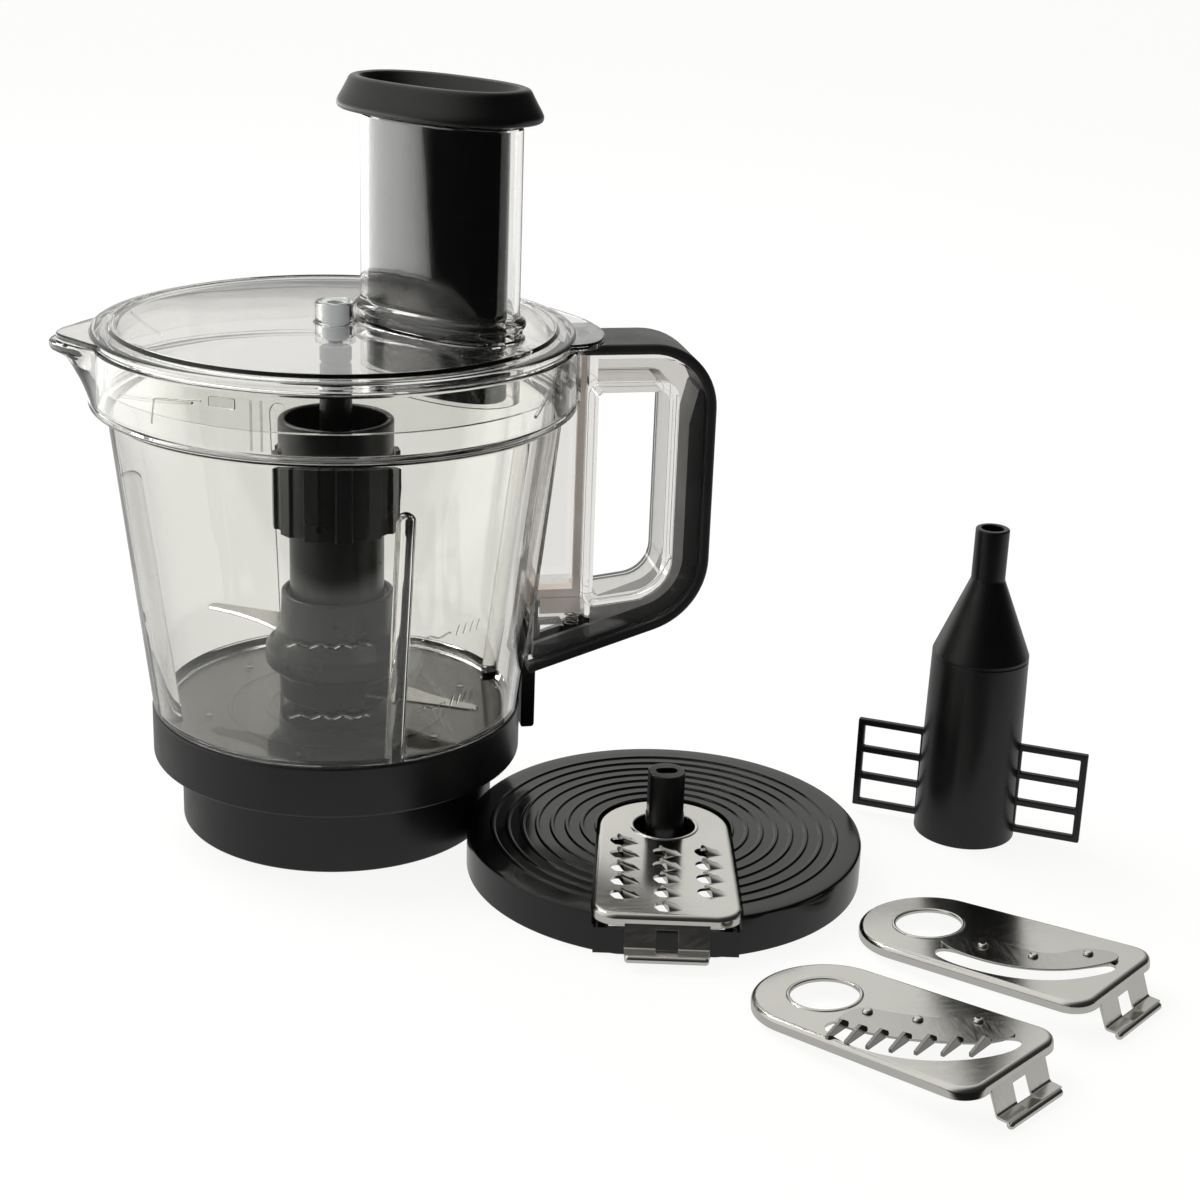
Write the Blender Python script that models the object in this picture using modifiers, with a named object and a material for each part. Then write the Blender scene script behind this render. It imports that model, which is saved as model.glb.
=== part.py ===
"""Food processor bowl with its lid, pusher, knife and a set of loose cutting tools. Metres, +Z up.

The origin is at the middle of the whole set, on the surface that it stands on. The bowl's handle
points to +X, and its spout to -X. Every tool lies beside the bowl, ready to be picked up.
"""

import math

import bmesh
import bpy
from mathutils import Matrix, Vector

# Places on the table. The first is from the middle of the set, the others from the bowl's axis.
BOWL_AXIS = (-0.1044, 0.0869)
DISC_AT = (0.1379, -0.0646)
PADDLE_AT = (0.2782, -0.0357)
SLICER_AT, SLICER_TURN = (0.2355, -0.1380), -47
JULIENNE_AT, JULIENNE_TURN = (0.1818, -0.1913), -50
GRATER_TURN, GRATER_TILT = -97, 1.5
WING_TURN = -26

# Shared
SEGMENTS = 36
FEW_SEGMENTS = 24
GAP = 0.0003
WALL = 0.0024

# Base collar
SKIRT_R = 0.0679
STEP_Z = 0.0310
BAND_R, BAND_TOP = 0.0800, 0.0532
WEB_LOW, WEB_TOP = 0.0444, 0.0470
BOSS_R, BOSS_LOW = 0.0130, 0.0300
BUSH_R = 0.0079

# Bowl
FLOOR_LOW, FLOOR_TOP = 0.0490, 0.0514
WALL_FOOT_Z, WALL_FOOT_R = 0.0536, 0.0795
WALL_HEAD_Z, WALL_HEAD_R = 0.1850, 0.0945
COLLAR_R, COLLAR_LOW, COLLAR_TOP = 0.1012, 0.1880, 0.2150
POST_R, POST_BORE, POST_TOP = 0.0114, 0.0088, 0.0960
SPOUT_R = 0.1160
RIB_R, RIB_TURN, RIB_TOP = 0.0040, -72, 0.1630
SCREW_RING_R, SCREW_TURN, SCREWS = 0.0570, -105, 6

# Lid, its chute and the pusher
LID_RIM_R = 0.1003
LID_RING_R = 0.0915
LID_LOW, LID_HIGH = 0.2182, 0.2205
CHUTE_AT, CHUTE_TURN = (0.0424, -0.0090), -45
CHUTE_A, CHUTE_B = 0.0390, 0.0190
CHUTE_LOW, CHUTE_TOP = 0.1945, 0.3055
PUSHER_PLAY, PUSHER_SHIFT = 0.0020, -0.0010
FLANGE_LOW, FLANGE_TOP = 0.3072, 0.3205
OVAL_POWER = 2.4

# Handle, and the spout opposite it
HANDLE_TURN = 5.5
GRIP_TOP, GRIP_R, GRIP_WIDTH, GRIP_THICK = 0.2126, 0.1616, 0.0340, 0.0074
ARM_SLOPE, TOP_CORNER, LOW_CORNER = 0.33, 0.0290, 0.0340
ARM_LOW_R, ARM_LOW_Z = 0.0880, 0.0670
WEB_WIDTH = 0.0260
OPENING = ((0.1103, 0.0990), (0.1410, 0.1910))

# Handle's interlock
ROD = (0.1026, 0.1062)
ARM_LOW, ARM_HIGH = 0.0960, 0.1010
SPRING_AT = 0.1035

# Spindle and knife
SHAFT_R = 0.0045
SPINDLE_R, SPINDLE_TOP, PIN_R = 0.00685, 0.2070, 0.0030
CUP_R, CUP_TOP = 0.0245, 0.1800
FLUTE_R, FLUTE_LOW, FLUTE_TOP, FLUTES = 0.0272, 0.1320, 0.1650, 12
COLUMN_R = 0.0203
HUB_R, HUB_TOP, HUB_FLANGE_R = 0.0240, 0.1030, 0.0310
BLADE_REACH, BLADE_THICK = 0.0690, 0.0012
UPPER_BLADE_Z, UPPER_BLADE_TURN = 0.0815, 152
LOWER_BLADE_Z, LOWER_BLADE_TURN = 0.0615, -27

# Disc
DISC_R, DISC_TOP = 0.0838, 0.0172
STEM_R, STEM_TOP = 0.0082, 0.0435

# Inserts, which share one outline. Its origin is the hub hole's middle, on the plate's top.
INSERT_BACK_R, INSERT_HALF_WIDTH, INSERT_LENGTH = 0.0280, 0.0298, 0.0860
INSERT_THICK, SKIRT_DEPTH = 0.0012, 0.0050
HUB_HOLE_R = 0.0133
INSERT_TOP_ON_DISC = 0.0178
LIP_DEPTH, LIP_REACH = 0.0170, 0.0034

# Paddle
PADDLE_FOOT_R, PADDLE_SHOULDER_R, PADDLE_SHOULDER_Z = 0.0221, 0.0209, 0.0852
NECK_R, NECK_LOW, NECK_TOP = 0.0073, 0.1188, 0.1415
WING_REACH, WING_LOW, WING_HIGH, WING_BAR = 0.0510, 0.0030, 0.0450, 0.0030


def clear_scene():
    for obj in list(bpy.data.objects):
        bpy.data.objects.remove(obj, do_unlink=True)


def collection(name):
    made = bpy.data.collections.new(name)
    bpy.context.scene.collection.children.link(made)
    return made


def material(name, color, roughness, metallic=0.0, transmission=0.0):
    made = bpy.data.materials.new(name)
    made.use_nodes = True
    shader = made.node_tree.nodes["Principled BSDF"]
    shader.inputs["Base Color"].default_value = (*color, 1)
    shader.inputs["Roughness"].default_value = roughness
    shader.inputs["Metallic"].default_value = metallic
    shader.inputs["Transmission Weight"].default_value = transmission
    made.diffuse_color = (*color, 1)
    return made


clear_scene()
PARTS = collection("food_processor")
CUTTERS = collection("cutters")
CLEAR = material("clear_polycarbonate", (0.86, 0.86, 0.85), 0.05, transmission=0.9)
BLACK = material("satin_black_plastic", (0.013, 0.013, 0.014), 0.38)
GLOSS = material("gloss_black_plastic", (0.008, 0.008, 0.009), 0.12)
GRIP = material("soft_touch_black", (0.030, 0.030, 0.032), 0.55)
STEEL = material("polished_steel", (0.62, 0.61, 0.58), 0.18, metallic=1.0)
BRONZE = material("sintered_bronze", (0.42, 0.27, 0.12), 0.45, metallic=1.0)
SEAL = material("black_rubber", (0.020, 0.020, 0.020), 0.70)
MILKY = material("milky_plastic", (0.66, 0.70, 0.70), 0.30)
BEIGE = material("natural_plastic", (0.70, 0.64, 0.57), 0.40)


def empty(name, place, parent=None, turn=0.0, tilt=0.0):
    """A frame at a place, turned about Z, then tilted so that its +X rises."""
    made = bpy.data.objects.new(name, None)
    PARTS.objects.link(made)
    made.parent = parent
    made.location = place
    made.rotation_euler = (0, -math.radians(tilt), math.radians(turn))
    made.rotation_mode = "XYZ"
    return made


def add(name, mesh, parent, surface=None):
    """An object that is a part, or a cutter where no surface is given."""
    made = bpy.data.objects.new(name, mesh)
    made.parent = parent
    if surface is None:
        CUTTERS.objects.link(made)
        made.hide_render = True
        made.display_type = "WIRE"
    else:
        PARTS.objects.link(made)
        mesh.materials.append(surface)
        mesh.shade_smooth()
        mesh.set_sharp_from_angle(angle=math.radians(35))
    return made


def turned(name, profile, parent, surface=None, segments=SEGMENTS):
    """A profile of (radius, height) turned about the parent's Z, closed where it leaves the axis."""
    count = len(profile)
    on_axis = profile[0][0] == 0 and profile[-1][0] == 0
    edges = [(i, (i + 1) % count) for i in range(count - on_axis)]
    mesh = bpy.data.meshes.new(name)
    mesh.from_pydata([(radius, 0, height) for radius, height in profile], edges, [])
    made = add(name, mesh, parent, surface)
    screw = made.modifiers.new("turn", "SCREW")
    screw.steps = segments
    screw.render_steps = segments
    screw.use_merge_vertices = True
    screw.merge_threshold = 1e-5
    return made


def rounded(corners, steps=5):
    """The closed outline through (x, y, radius) corners, with an arc of that radius at each."""
    points = []
    for i, (x, y, radius) in enumerate(corners):
        here = Vector((x, y))
        if radius == 0:
            points.append((x, y))
            continue
        before = (Vector(corners[i - 1][:2]) - here).normalized()
        after = (Vector(corners[(i + 1) % len(corners)][:2]) - here).normalized()
        half = before.angle(after) / 2
        middle = here + (before + after).normalized() * (radius / math.sin(half))
        start = here + before * (radius / math.tan(half)) - middle
        end = here + after * (radius / math.tan(half)) - middle
        sweep = start.angle_signed(end)
        for step in range(steps + 1):
            spoke = start.copy()
            spoke.rotate(Matrix.Rotation(-sweep * step / steps, 2))
            points.append(tuple(middle + spoke))
    return points


def flat(loops, low, high):
    """A mesh between two heights with the outline loops[0], and the other loops as holes in it."""
    curve = bpy.data.curves.new("outline", "CURVE")
    curve.dimensions = "2D"
    curve.fill_mode = "BOTH"
    curve.extrude = (high - low) / 2
    for loop in loops:
        spline = curve.splines.new("POLY")
        spline.points.add(len(loop) - 1)
        for point, (x, y) in zip(spline.points, loop):
            point.co = (x, y, 0, 1)
        spline.use_cyclic_u = True
    holder = bpy.data.objects.new("outline", curve)
    bpy.context.scene.collection.objects.link(holder)
    graph = bpy.context.evaluated_depsgraph_get()
    mesh = bpy.data.meshes.new_from_object(holder.evaluated_get(graph))
    bpy.data.objects.remove(holder, do_unlink=True)
    bpy.data.curves.remove(curve)
    shape = bmesh.new()
    shape.from_mesh(mesh)
    bmesh.ops.remove_doubles(shape, verts=shape.verts, dist=1e-6)
    bmesh.ops.translate(shape, verts=shape.verts, vec=(0, 0, (low + high) / 2))
    return finished(shape, mesh)


def finished(shape, mesh):
    bmesh.ops.recalc_face_normals(shape, faces=shape.faces)
    shape.to_mesh(mesh)
    shape.free()
    mesh.materials.clear()
    return mesh


def upright(mesh):
    """The same mesh with its outline's y turned up to z."""
    mesh.transform(Matrix.Rotation(math.radians(90), 4, "X"))
    return mesh


def box_mesh(boxes):
    """One mesh of separate boxes, each given by its (low, high) corners."""
    shape = bmesh.new()
    for low, high in boxes:
        low, high = Vector(low), Vector(high)
        size = Matrix.Diagonal((*(high - low), 1))
        bmesh.ops.create_cube(shape, size=1, matrix=Matrix.Translation((low + high) / 2) @ size)
    return finished(shape, bpy.data.meshes.new("boxes"))


def rods_mesh(rods, segments=16):
    """One mesh of separate cylinders, each given by its two ends and a radius."""
    shape = bmesh.new()
    for start, end, radius in rods:
        along = Vector(end) - Vector(start)
        place = Matrix.Translation((Vector(start) + Vector(end)) / 2)
        turn = along.to_track_quat("Z", "Y").to_matrix().to_4x4()
        bmesh.ops.create_cone(
            shape,
            cap_ends=True,
            segments=segments,
            radius1=radius,
            radius2=radius,
            depth=along.length,
            matrix=place @ turn,
        )
    return finished(shape, bpy.data.meshes.new("rods"))


def hull_mesh(points):
    shape = bmesh.new()
    for point in points:
        shape.verts.new(point)
    made = bmesh.ops.convex_hull(shape, input=shape.verts)
    spare = made["geom_interior"] + made["geom_unused"]
    loose = {item for item in spare if isinstance(item, bmesh.types.BMVert)}
    bmesh.ops.delete(shape, geom=list(loose), context="VERTS")
    return finished(shape, bpy.data.meshes.new("hull"))


def boolean(obj, other, operation):
    step = obj.modifiers.new(operation.lower(), "BOOLEAN")
    step.operation = operation
    step.object = other


def cut(obj, cutter):
    boolean(obj, cutter, "DIFFERENCE")


def join(obj, other):
    boolean(obj, other, "UNION")


def oval(half_length, half_width, count=32):
    """A rounded oval about the origin, long in x."""
    points = []
    for i in range(count):
        angle = 2 * math.pi * i / count
        c, s = math.cos(angle), math.sin(angle)
        x = half_length * math.copysign(abs(c) ** (2 / OVAL_POWER), c)
        y = half_width * math.copysign(abs(s) ** (2 / OVAL_POWER), s)
        points.append((x, y))
    return points


def oval_loft(sections):
    """A closed mesh through ovals, each given by (half length, half width, height)."""
    shape = bmesh.new()
    rings = []
    for half_length, half_width, height in sections:
        ring = [shape.verts.new((x, y, height)) for x, y in oval(half_length, half_width)]
        rings.append(ring)
    for low, high in zip(rings, rings[1:]):
        for i in range(len(low)):
            j = (i + 1) % len(low)
            shape.faces.new((low[i], low[j], high[j], high[i]))
    shape.faces.new(rings[0])
    shape.faces.new(rings[-1])
    return finished(shape, bpy.data.meshes.new("oval"))


def polar(radius, degrees):
    return radius * math.cos(math.radians(degrees)), radius * math.sin(math.radians(degrees))


def wall_radius(height):
    """The outer radius of the bowl's tapered wall."""
    share = (height - WALL_FOOT_Z) / (WALL_HEAD_Z - WALL_FOOT_Z)
    return WALL_FOOT_R + share * (WALL_HEAD_R - WALL_FOOT_R)


def base_collar(axis):
    inside = BAND_R - WALL
    profile = [
        (inside, BAND_TOP),
        (BAND_R - 0.0006, BAND_TOP),
        (BAND_R, BAND_TOP - 0.0006),
        (BAND_R, STEP_Z + 0.0008),
        (BAND_R - 0.0008, STEP_Z),
        (SKIRT_R, STEP_Z),
        (SKIRT_R, 0.0006),
        (SKIRT_R - 0.0006, 0),
        (SKIRT_R - WALL, 0),
        (SKIRT_R - WALL, STEP_Z + WALL),
        (inside, STEP_Z + WALL),
        (inside, WEB_LOW),
        (BOSS_R, WEB_LOW),
        (BOSS_R, BOSS_LOW),
        (BUSH_R + GAP, BOSS_LOW),
        (BUSH_R + GAP, WEB_TOP),
        (inside, WEB_TOP),
    ]
    collar = turned("base_collar", profile, axis, BLACK)
    holes = []
    for x, y in screw_places():
        holes.append(((x, y, WEB_LOW - 0.004), (x, y, WEB_TOP + 0.001), 0.0019))
    cut(collar, add("screw_holes", rods_mesh(holes, 12), axis))


def screw_places():
    return [polar(SCREW_RING_R, SCREW_TURN + 360 / SCREWS * i) for i in range(SCREWS)]


def base_screws(axis):
    head, shank, low, high = 0.0032, 0.0015, WEB_LOW - GAP - 0.0024, FLOOR_LOW + 0.0010
    profile = [
        (0, high),
        (shank, high),
        (shank, low + 0.0024),
        (head, low + 0.0024),
        (head, low + 0.0010),
        (head - 0.0010, low),
        (0, low),
    ]
    for i, (x, y) in enumerate(screw_places()):
        screw = turned(f"base_screw_{i + 1}", profile, axis, STEEL, segments=10)
        screw.location = (x, y, 0)


def spout_hull(inset, root_x, top):
    """The spout's outer form, or its hollow where inset is the wall's thickness."""
    tip = SPOUT_R - inset
    points = []
    for side in (-1, 1):
        points += [
            (-tip, side * 0.0042, top),
            (-tip + 0.0060, side * (0.0140 - inset), top),
            (-0.0960, side * (0.0300 - inset), top),
            (-tip + 0.0012, side * 0.0030, COLLAR_TOP - 0.0035 + inset),
            (-0.1010 + inset, side * 0.0080, COLLAR_LOW + 0.0040 + inset),
            (-0.0960, side * 0.0180, COLLAR_LOW + 0.0040 + inset),
            (root_x, side * 0.0180, COLLAR_LOW + 0.0060 + inset),
            (root_x, side * (0.0280 - inset), top),
        ]
    return hull_mesh(points)


def bowl(axis, handle_frame):
    foot = BAND_R - WALL - 2 * GAP
    inner_foot = WALL_FOOT_R - WALL
    inner_head = WALL_HEAD_R - WALL
    collar_inner = COLLAR_R - WALL
    profile = [
        (collar_inner, COLLAR_TOP),
        (COLLAR_R, COLLAR_TOP),
        (COLLAR_R, COLLAR_LOW + 0.0026),
        (COLLAR_R + 0.0005, COLLAR_LOW + 0.0016),
        (COLLAR_R - 0.0006, COLLAR_LOW),
        (WALL_HEAD_R + 0.0006, COLLAR_LOW - 0.0004),
        (WALL_HEAD_R, WALL_HEAD_Z),
        (WALL_FOOT_R, WALL_FOOT_Z),
        (foot, WALL_FOOT_Z),
        (foot, FLOOR_LOW),
        (POST_BORE, FLOOR_LOW),
        (POST_BORE, POST_TOP),
        (POST_R, POST_TOP),
        (POST_R, FLOOR_TOP),
        (inner_foot - 0.0030, FLOOR_TOP),
        (inner_foot, FLOOR_TOP + 0.0040),
        (inner_head, WALL_HEAD_Z),
        (inner_head + 0.0005, COLLAR_LOW + 0.0018),
        (collar_inner, COLLAR_LOW + 0.0026),
    ]
    made = turned("bowl", profile, axis, CLEAR)
    join(made, add("spout_form", spout_hull(0, -0.0990, COLLAR_TOP), handle_frame))
    cut(made, add("spout_hollow", spout_hull(0.0018, -0.0900, COLLAR_TOP + 0.004), handle_frame))
    join(made, add("bowl_ribs", bowl_ribs(), axis))
    pits = [((x, y, FLOOR_LOW - 0.001), (x, y, FLOOR_LOW + 0.0014), 0.0019) for x, y in screw_places()]
    cut(made, add("screw_pits", rods_mesh(pits, 12), axis))


def bowl_ribs():
    """Four round ribs inside the wall, each leaning with it."""
    foot = (BAND_R - WALL - 3 * GAP - RIB_R, FLOOR_TOP - 0.0010)
    head = (wall_radius(RIB_TOP) - WALL - 0.0030, RIB_TOP)
    rods = []
    for i in range(4):
        low, high = [(*polar(reach, RIB_TURN + 90 * i), height) for reach, height in (foot, head)]
        rods.append((low, high, RIB_R))
    return rods_mesh(rods, 10)


def floor_gasket(axis):
    low, high = WEB_TOP + GAP, FLOOR_LOW - GAP
    profile = [(0.0150, high), (0.0190, high), (0.0190, low), (0.0150, low)]
    turned("floor_gasket", profile, axis, SEAL, segments=FEW_SEGMENTS)


def ring(name, axis, inner, outer, low, high, surface, segments=FEW_SEGMENTS):
    return turned(name, [(inner, high), (outer, high), (outer, low), (inner, low)], axis, surface, segments)


def drive_parts(axis):
    ring("shaft_bush", axis, SHAFT_R + 0.00006, BUSH_R, BOSS_LOW + 0.0006, 0.0430, BRONZE)
    ring("shaft_seal", axis, SHAFT_R + GAP, BUSH_R, 0.0433, WEB_TOP - GAP, SEAL)
    shaft_profile = [(0, 0.0700), (SHAFT_R, 0.0700), (SHAFT_R, 0.0120), (0, 0.0120)]
    turned("drive_shaft", shaft_profile, axis, STEEL, segments=FEW_SEGMENTS)
    circlip(axis)
    drive_coupling(axis)


def circlip(axis):
    """An open spring ring round the shaft, under the bush."""
    outer, inner, opening = 0.0070, SHAFT_R + GAP, 25
    angles = [opening + (360 - 2 * opening) * i / 20 for i in range(21)]
    loop = [polar(outer, angle) for angle in angles] + [polar(inner, angle) for angle in reversed(angles)]
    add("circlip", flat([loop], 0.0282, 0.0292), axis, STEEL)


def drive_coupling(axis):
    """A six-dog coupling that a motor's driver enters from below."""
    dogs, count = 6, 48
    loop = []
    for i in range(count):
        phase = (i * dogs / count) % 1
        loop.append(polar(0.0195 if phase < 0.5 else 0.0150, 360 * i / count))
    made = add("drive_coupling", flat([loop], 0.0070, 0.0250), axis, BLACK)
    cut(made, add("shaft_socket", rods_mesh([((0, 0, 0.0116), (0, 0, 0.03), SHAFT_R + GAP)], 32), axis))


def spindle(axis):
    """The tall black spindle, which turns on the shaft and ends in a pin in the lid's bush."""
    profile = [
        (0, 0.2240),
        (PIN_R - 0.0006, 0.2240),
        (PIN_R, 0.2232),
        (PIN_R, SPINDLE_TOP),
        (SPINDLE_R - 0.0008, SPINDLE_TOP),
        (SPINDLE_R, SPINDLE_TOP - 0.0008),
        (SPINDLE_R, 0.0516),
        (SHAFT_R + GAP, 0.0516),
        (SHAFT_R + GAP, 0.0706),
        (0, 0.0706),
    ]
    turned("drive_spindle", profile, axis, BLACK, segments=FEW_SEGMENTS)


def knife_column(axis):
    """The knife's cup, fluted collar, column and hub, hollow over the bowl's post."""
    cavity = POST_R + 0.0014
    bore = SPINDLE_R + 0.0005
    profile = [
        (CUP_R - 0.0030, CUP_TOP),
        (CUP_R - 0.0005, CUP_TOP),
        (CUP_R, CUP_TOP - 0.0006),
        (CUP_R, FLUTE_TOP - 0.001),
        (FLUTE_R - 0.0014, FLUTE_TOP - 0.001),
        (FLUTE_R - 0.0014, FLUTE_LOW + 0.001),
        (COLUMN_R, FLUTE_LOW + 0.001),
        (COLUMN_R, HUB_TOP + 0.0010),
        (HUB_R - 0.0008, HUB_TOP),
        (HUB_R, HUB_TOP - 0.0010),
        (HUB_R + 0.0004, 0.0860),
        (HUB_FLANGE_R - 0.0012, 0.0785),
        (HUB_FLANGE_R, 0.0755),
        (HUB_FLANGE_R - 0.0008, 0.0710),
        (HUB_FLANGE_R - 0.0050, 0.0665),
        (HUB_FLANGE_R - 0.0060, 0.0560),
        (cavity, 0.0560),
        (cavity, 0.1010),
        (bore, 0.1060),
        (bore, 0.1560),
        (CUP_R - 0.0030, 0.1560),
    ]
    made = turned("knife_column", profile, axis, BLACK)
    join(made, add("flutes", flutes_mesh(), axis))
    ledge = box_mesh([((-CUP_R - 0.0050, -0.0065, 0.1660), (-CUP_R + 0.0010, 0.0065, 0.1690))])
    join(made, add("cup_ledge", ledge, axis))
    for height, turn in ((UPPER_BLADE_Z, UPPER_BLADE_TURN), (LOWER_BLADE_Z, LOWER_BLADE_TURN)):
        slot = box_mesh([((0.0100, -0.0155, -0.0009), (0.0400, 0.0155, 0.0009))])
        cutter = add("blade_slot", slot, axis)
        cutter.location = (0, 0, height)
        cutter.rotation_euler = (0, 0, math.radians(turn))
        cut(made, cutter)


def flutes_mesh():
    """The collar's teeth, as a ring with a hole clear of the cup's hollow."""
    steps = 4 * FLUTES
    outer = []
    for i in range(steps):
        radius = FLUTE_R if i % 4 < 2 else FLUTE_R - 0.0017
        outer.append(polar(radius, 360 * i / steps))
    inner = [polar(CUP_R - 0.0015, 360 * i / 32) for i in range(32)]
    return flat([outer, inner], FLUTE_LOW, FLUTE_TOP)


def blade_outline(inner):
    """A sickle that leaves the hub wide and narrows to a blunt tip."""
    leading, trailing = [], []
    for i in range(9):
        share = i / 8
        radius = inner + (BLADE_REACH - inner) * share
        middle = -0.0100 * share**2 + 0.0040 * share
        half = 0.0115 * (1 - share) ** 1.3 + 0.0026
        leading.append((radius, middle + half))
        trailing.append((radius, middle - half))
    return leading + trailing[::-1]


def knife_blades(axis):
    inner = POST_R + 0.0034
    placed = (
        ("blade_upper", UPPER_BLADE_Z, UPPER_BLADE_TURN),
        ("blade_lower", LOWER_BLADE_Z, LOWER_BLADE_TURN),
    )
    for name, height, turn in placed:
        low = -BLADE_THICK / 2
        made = add(name, flat([blade_outline(inner)], low, low + BLADE_THICK), axis, STEEL)
        made.location = (0, 0, height)
        made.rotation_euler = (0, 0, math.radians(turn))


def lid(axis):
    boss, bush = 0.0085, 0.0059
    skirt = COLLAR_R - WALL - 0.0011
    profile = [
        (LID_RING_R - 0.0010, LID_HIGH + 0.0016),
        (LID_RING_R, LID_HIGH + 0.0016),
        (LID_RING_R + 0.0022, LID_HIGH - 0.0010),
        (LID_RIM_R - 0.0014, LID_HIGH - 0.0014),
        (LID_RIM_R, LID_HIGH - 0.0026),
        (LID_RIM_R, COLLAR_TOP + 0.0012),
        (LID_RIM_R - 0.0010, COLLAR_TOP + 0.0004),
        (skirt, COLLAR_TOP + 0.0004),
        (skirt, 0.1990),
        (skirt - 0.0018, 0.1990),
        (skirt - 0.0018, LID_LOW - 0.0010),
        (LID_RING_R - 0.0020, LID_LOW - 0.0010),
        (LID_RING_R - 0.0040, LID_LOW),
        (boss, LID_LOW),
        (boss, 0.2125),
        (bush, 0.2125),
        (bush, 0.2292),
        (boss, 0.2292),
        (boss, LID_HIGH),
        (LID_RING_R - 0.0030, LID_HIGH),
    ]
    made = turned("lid", profile, axis, CLEAR)
    low = COLLAR_TOP + 0.0004
    join(made, add("lid_tab", flat([tab_outline()], low, low + 0.0026), axis))
    join(made, add("spout_cover", flat([spout_cover_outline()], low, low + 0.0022), axis))
    chute = add("chute_form", oval_loft(chute_sections()), axis)
    hollow_sections = [(CHUTE_A - WALL + 0.0002, CHUTE_B - WALL + 0.0002, z) for z in (0.19, 0.31)]
    hollow = add("chute_hollow", oval_loft(hollow_sections), axis)
    for piece in (chute, hollow):
        piece.location = (*CHUTE_AT, 0)
        piece.rotation_euler = (0, 0, math.radians(CHUTE_TURN))
    join(made, chute)
    cut(made, hollow)


def tab_outline():
    """The finger tab over the handle, from inside the rim out to a blunt lobe."""
    corners = [(-18, 0.0965), (-17, 0.1060), (-12, 0.1105), (-7, 0.1120), (4, 0.1102)]
    corners += [(14, 0.1060), (21, 0.1025), (27, 0.0965)]
    return rounded([(*polar(radius, turn), 0) for turn, radius in corners])


def spout_cover_outline():
    corners = [(-17, 0.0960), (-14, 0.1015), (-7, 0.1075), (-2.5, 0.1130)]
    corners += [(2.5, 0.1130), (7, 0.1075), (14, 0.1015), (17, 0.0960)]
    return [polar(radius, 180 + HANDLE_TURN + turn) for turn, radius in corners]


def chute_sections():
    spread = ((0, CHUTE_LOW), (0, LID_LOW - 0.001), (0.0026, LID_HIGH - 0.001), (0.0022, 0.2262))
    spread += ((0.0022, 0.2290), (0, 0.2292), (0, CHUTE_TOP))
    return [(CHUTE_A + extra, CHUTE_B + extra, height) for extra, height in spread]


def lid_bush(axis):
    profile = [
        (PIN_R + GAP, 0.2286),
        (0.0056, 0.2286),
        (0.0056, 0.2120),
        (0.0048, 0.2105),
        (PIN_R + GAP, 0.2105),
    ]
    turned("lid_bush", profile, axis, MILKY, segments=FEW_SEGMENTS)


def pusher(axis):
    body_a, body_b = CHUTE_A - WALL - PUSHER_PLAY, CHUTE_B - WALL - PUSHER_PLAY
    sections = [
        (body_a - 0.0010, body_b - 0.0010, CHUTE_LOW + 0.0006),
        (body_a, body_b, CHUTE_LOW + 0.0016),
        (body_a, body_b, FLANGE_LOW + 0.0012),
        (CHUTE_A + 0.0064, CHUTE_B + 0.0064, FLANGE_LOW),
        (CHUTE_A + 0.0080, CHUTE_B + 0.0080, FLANGE_LOW + 0.0010),
        (CHUTE_A + 0.0084, CHUTE_B + 0.0084, FLANGE_LOW + 0.0032),
        (CHUTE_A + 0.0040, CHUTE_B + 0.0040, FLANGE_TOP - 0.0010),
        (CHUTE_A + 0.0026, CHUTE_B + 0.0026, FLANGE_TOP),
    ]
    made = add("pusher", oval_loft(sections), axis, GLOSS)
    hollow = [(body_a - 0.0026, body_b - 0.0026, z) for z in (CHUTE_LOW + 0.0036, FLANGE_TOP - 0.004)]
    hollow += [(body_a - 0.0016, body_b - 0.0016, FLANGE_TOP + 0.002)]
    cutter = add("pusher_hollow", oval_loft(hollow), axis)
    for piece in (made, cutter):
        piece.location = (CHUTE_AT[0] + PUSHER_SHIFT, CHUTE_AT[1], 0)
        piece.rotation_euler = (0, 0, math.radians(CHUTE_TURN))
    cut(made, cutter)


def grip_path(inset):
    """The handle's bent edge from its top end round to its low end, moved in by inset."""
    lean = math.hypot(1, ARM_SLOPE)
    right = GRIP_R - inset
    low_z = ARM_LOW_Z + inset * lean
    corner_z = low_z + ARM_SLOPE * (right - ARM_LOW_R)
    return (GRIP_TOP - inset, right, corner_z, low_z)


def handle_grip(axis):
    top, right, corner, low = grip_path(0)
    top_in, right_in, corner_in, low_in = grip_path(GRIP_THICK)
    left_top = COLLAR_R + 0.0008
    loop = rounded(
        [
            (left_top, top, 0.0012),
            (right, top, TOP_CORNER),
            (right, corner, LOW_CORNER),
            (ARM_LOW_R, low, 0.0012),
            (ARM_LOW_R, low_in, 0),
            (right_in, corner_in, LOW_CORNER - GRIP_THICK),
            (right_in, top_in, TOP_CORNER - GRIP_THICK),
            (left_top, top_in, 0),
        ],
        steps=7,
    )
    half = GRIP_WIDTH / 2
    made = add("handle_grip", upright(flat([loop], -half, half)), axis, GRIP)
    window = box_mesh([((0.1000, -0.0052, 0.200), (ROD[1] + 0.0010, 0.0052, 0.220))])
    cut(made, add("rod_window", window, axis))
    bevel = made.modifiers.new("edge", "BEVEL")
    bevel.width = 0.0010
    bevel.segments = 2
    bevel.limit_method = "ANGLE"
    bevel.angle_limit = math.radians(50)


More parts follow.
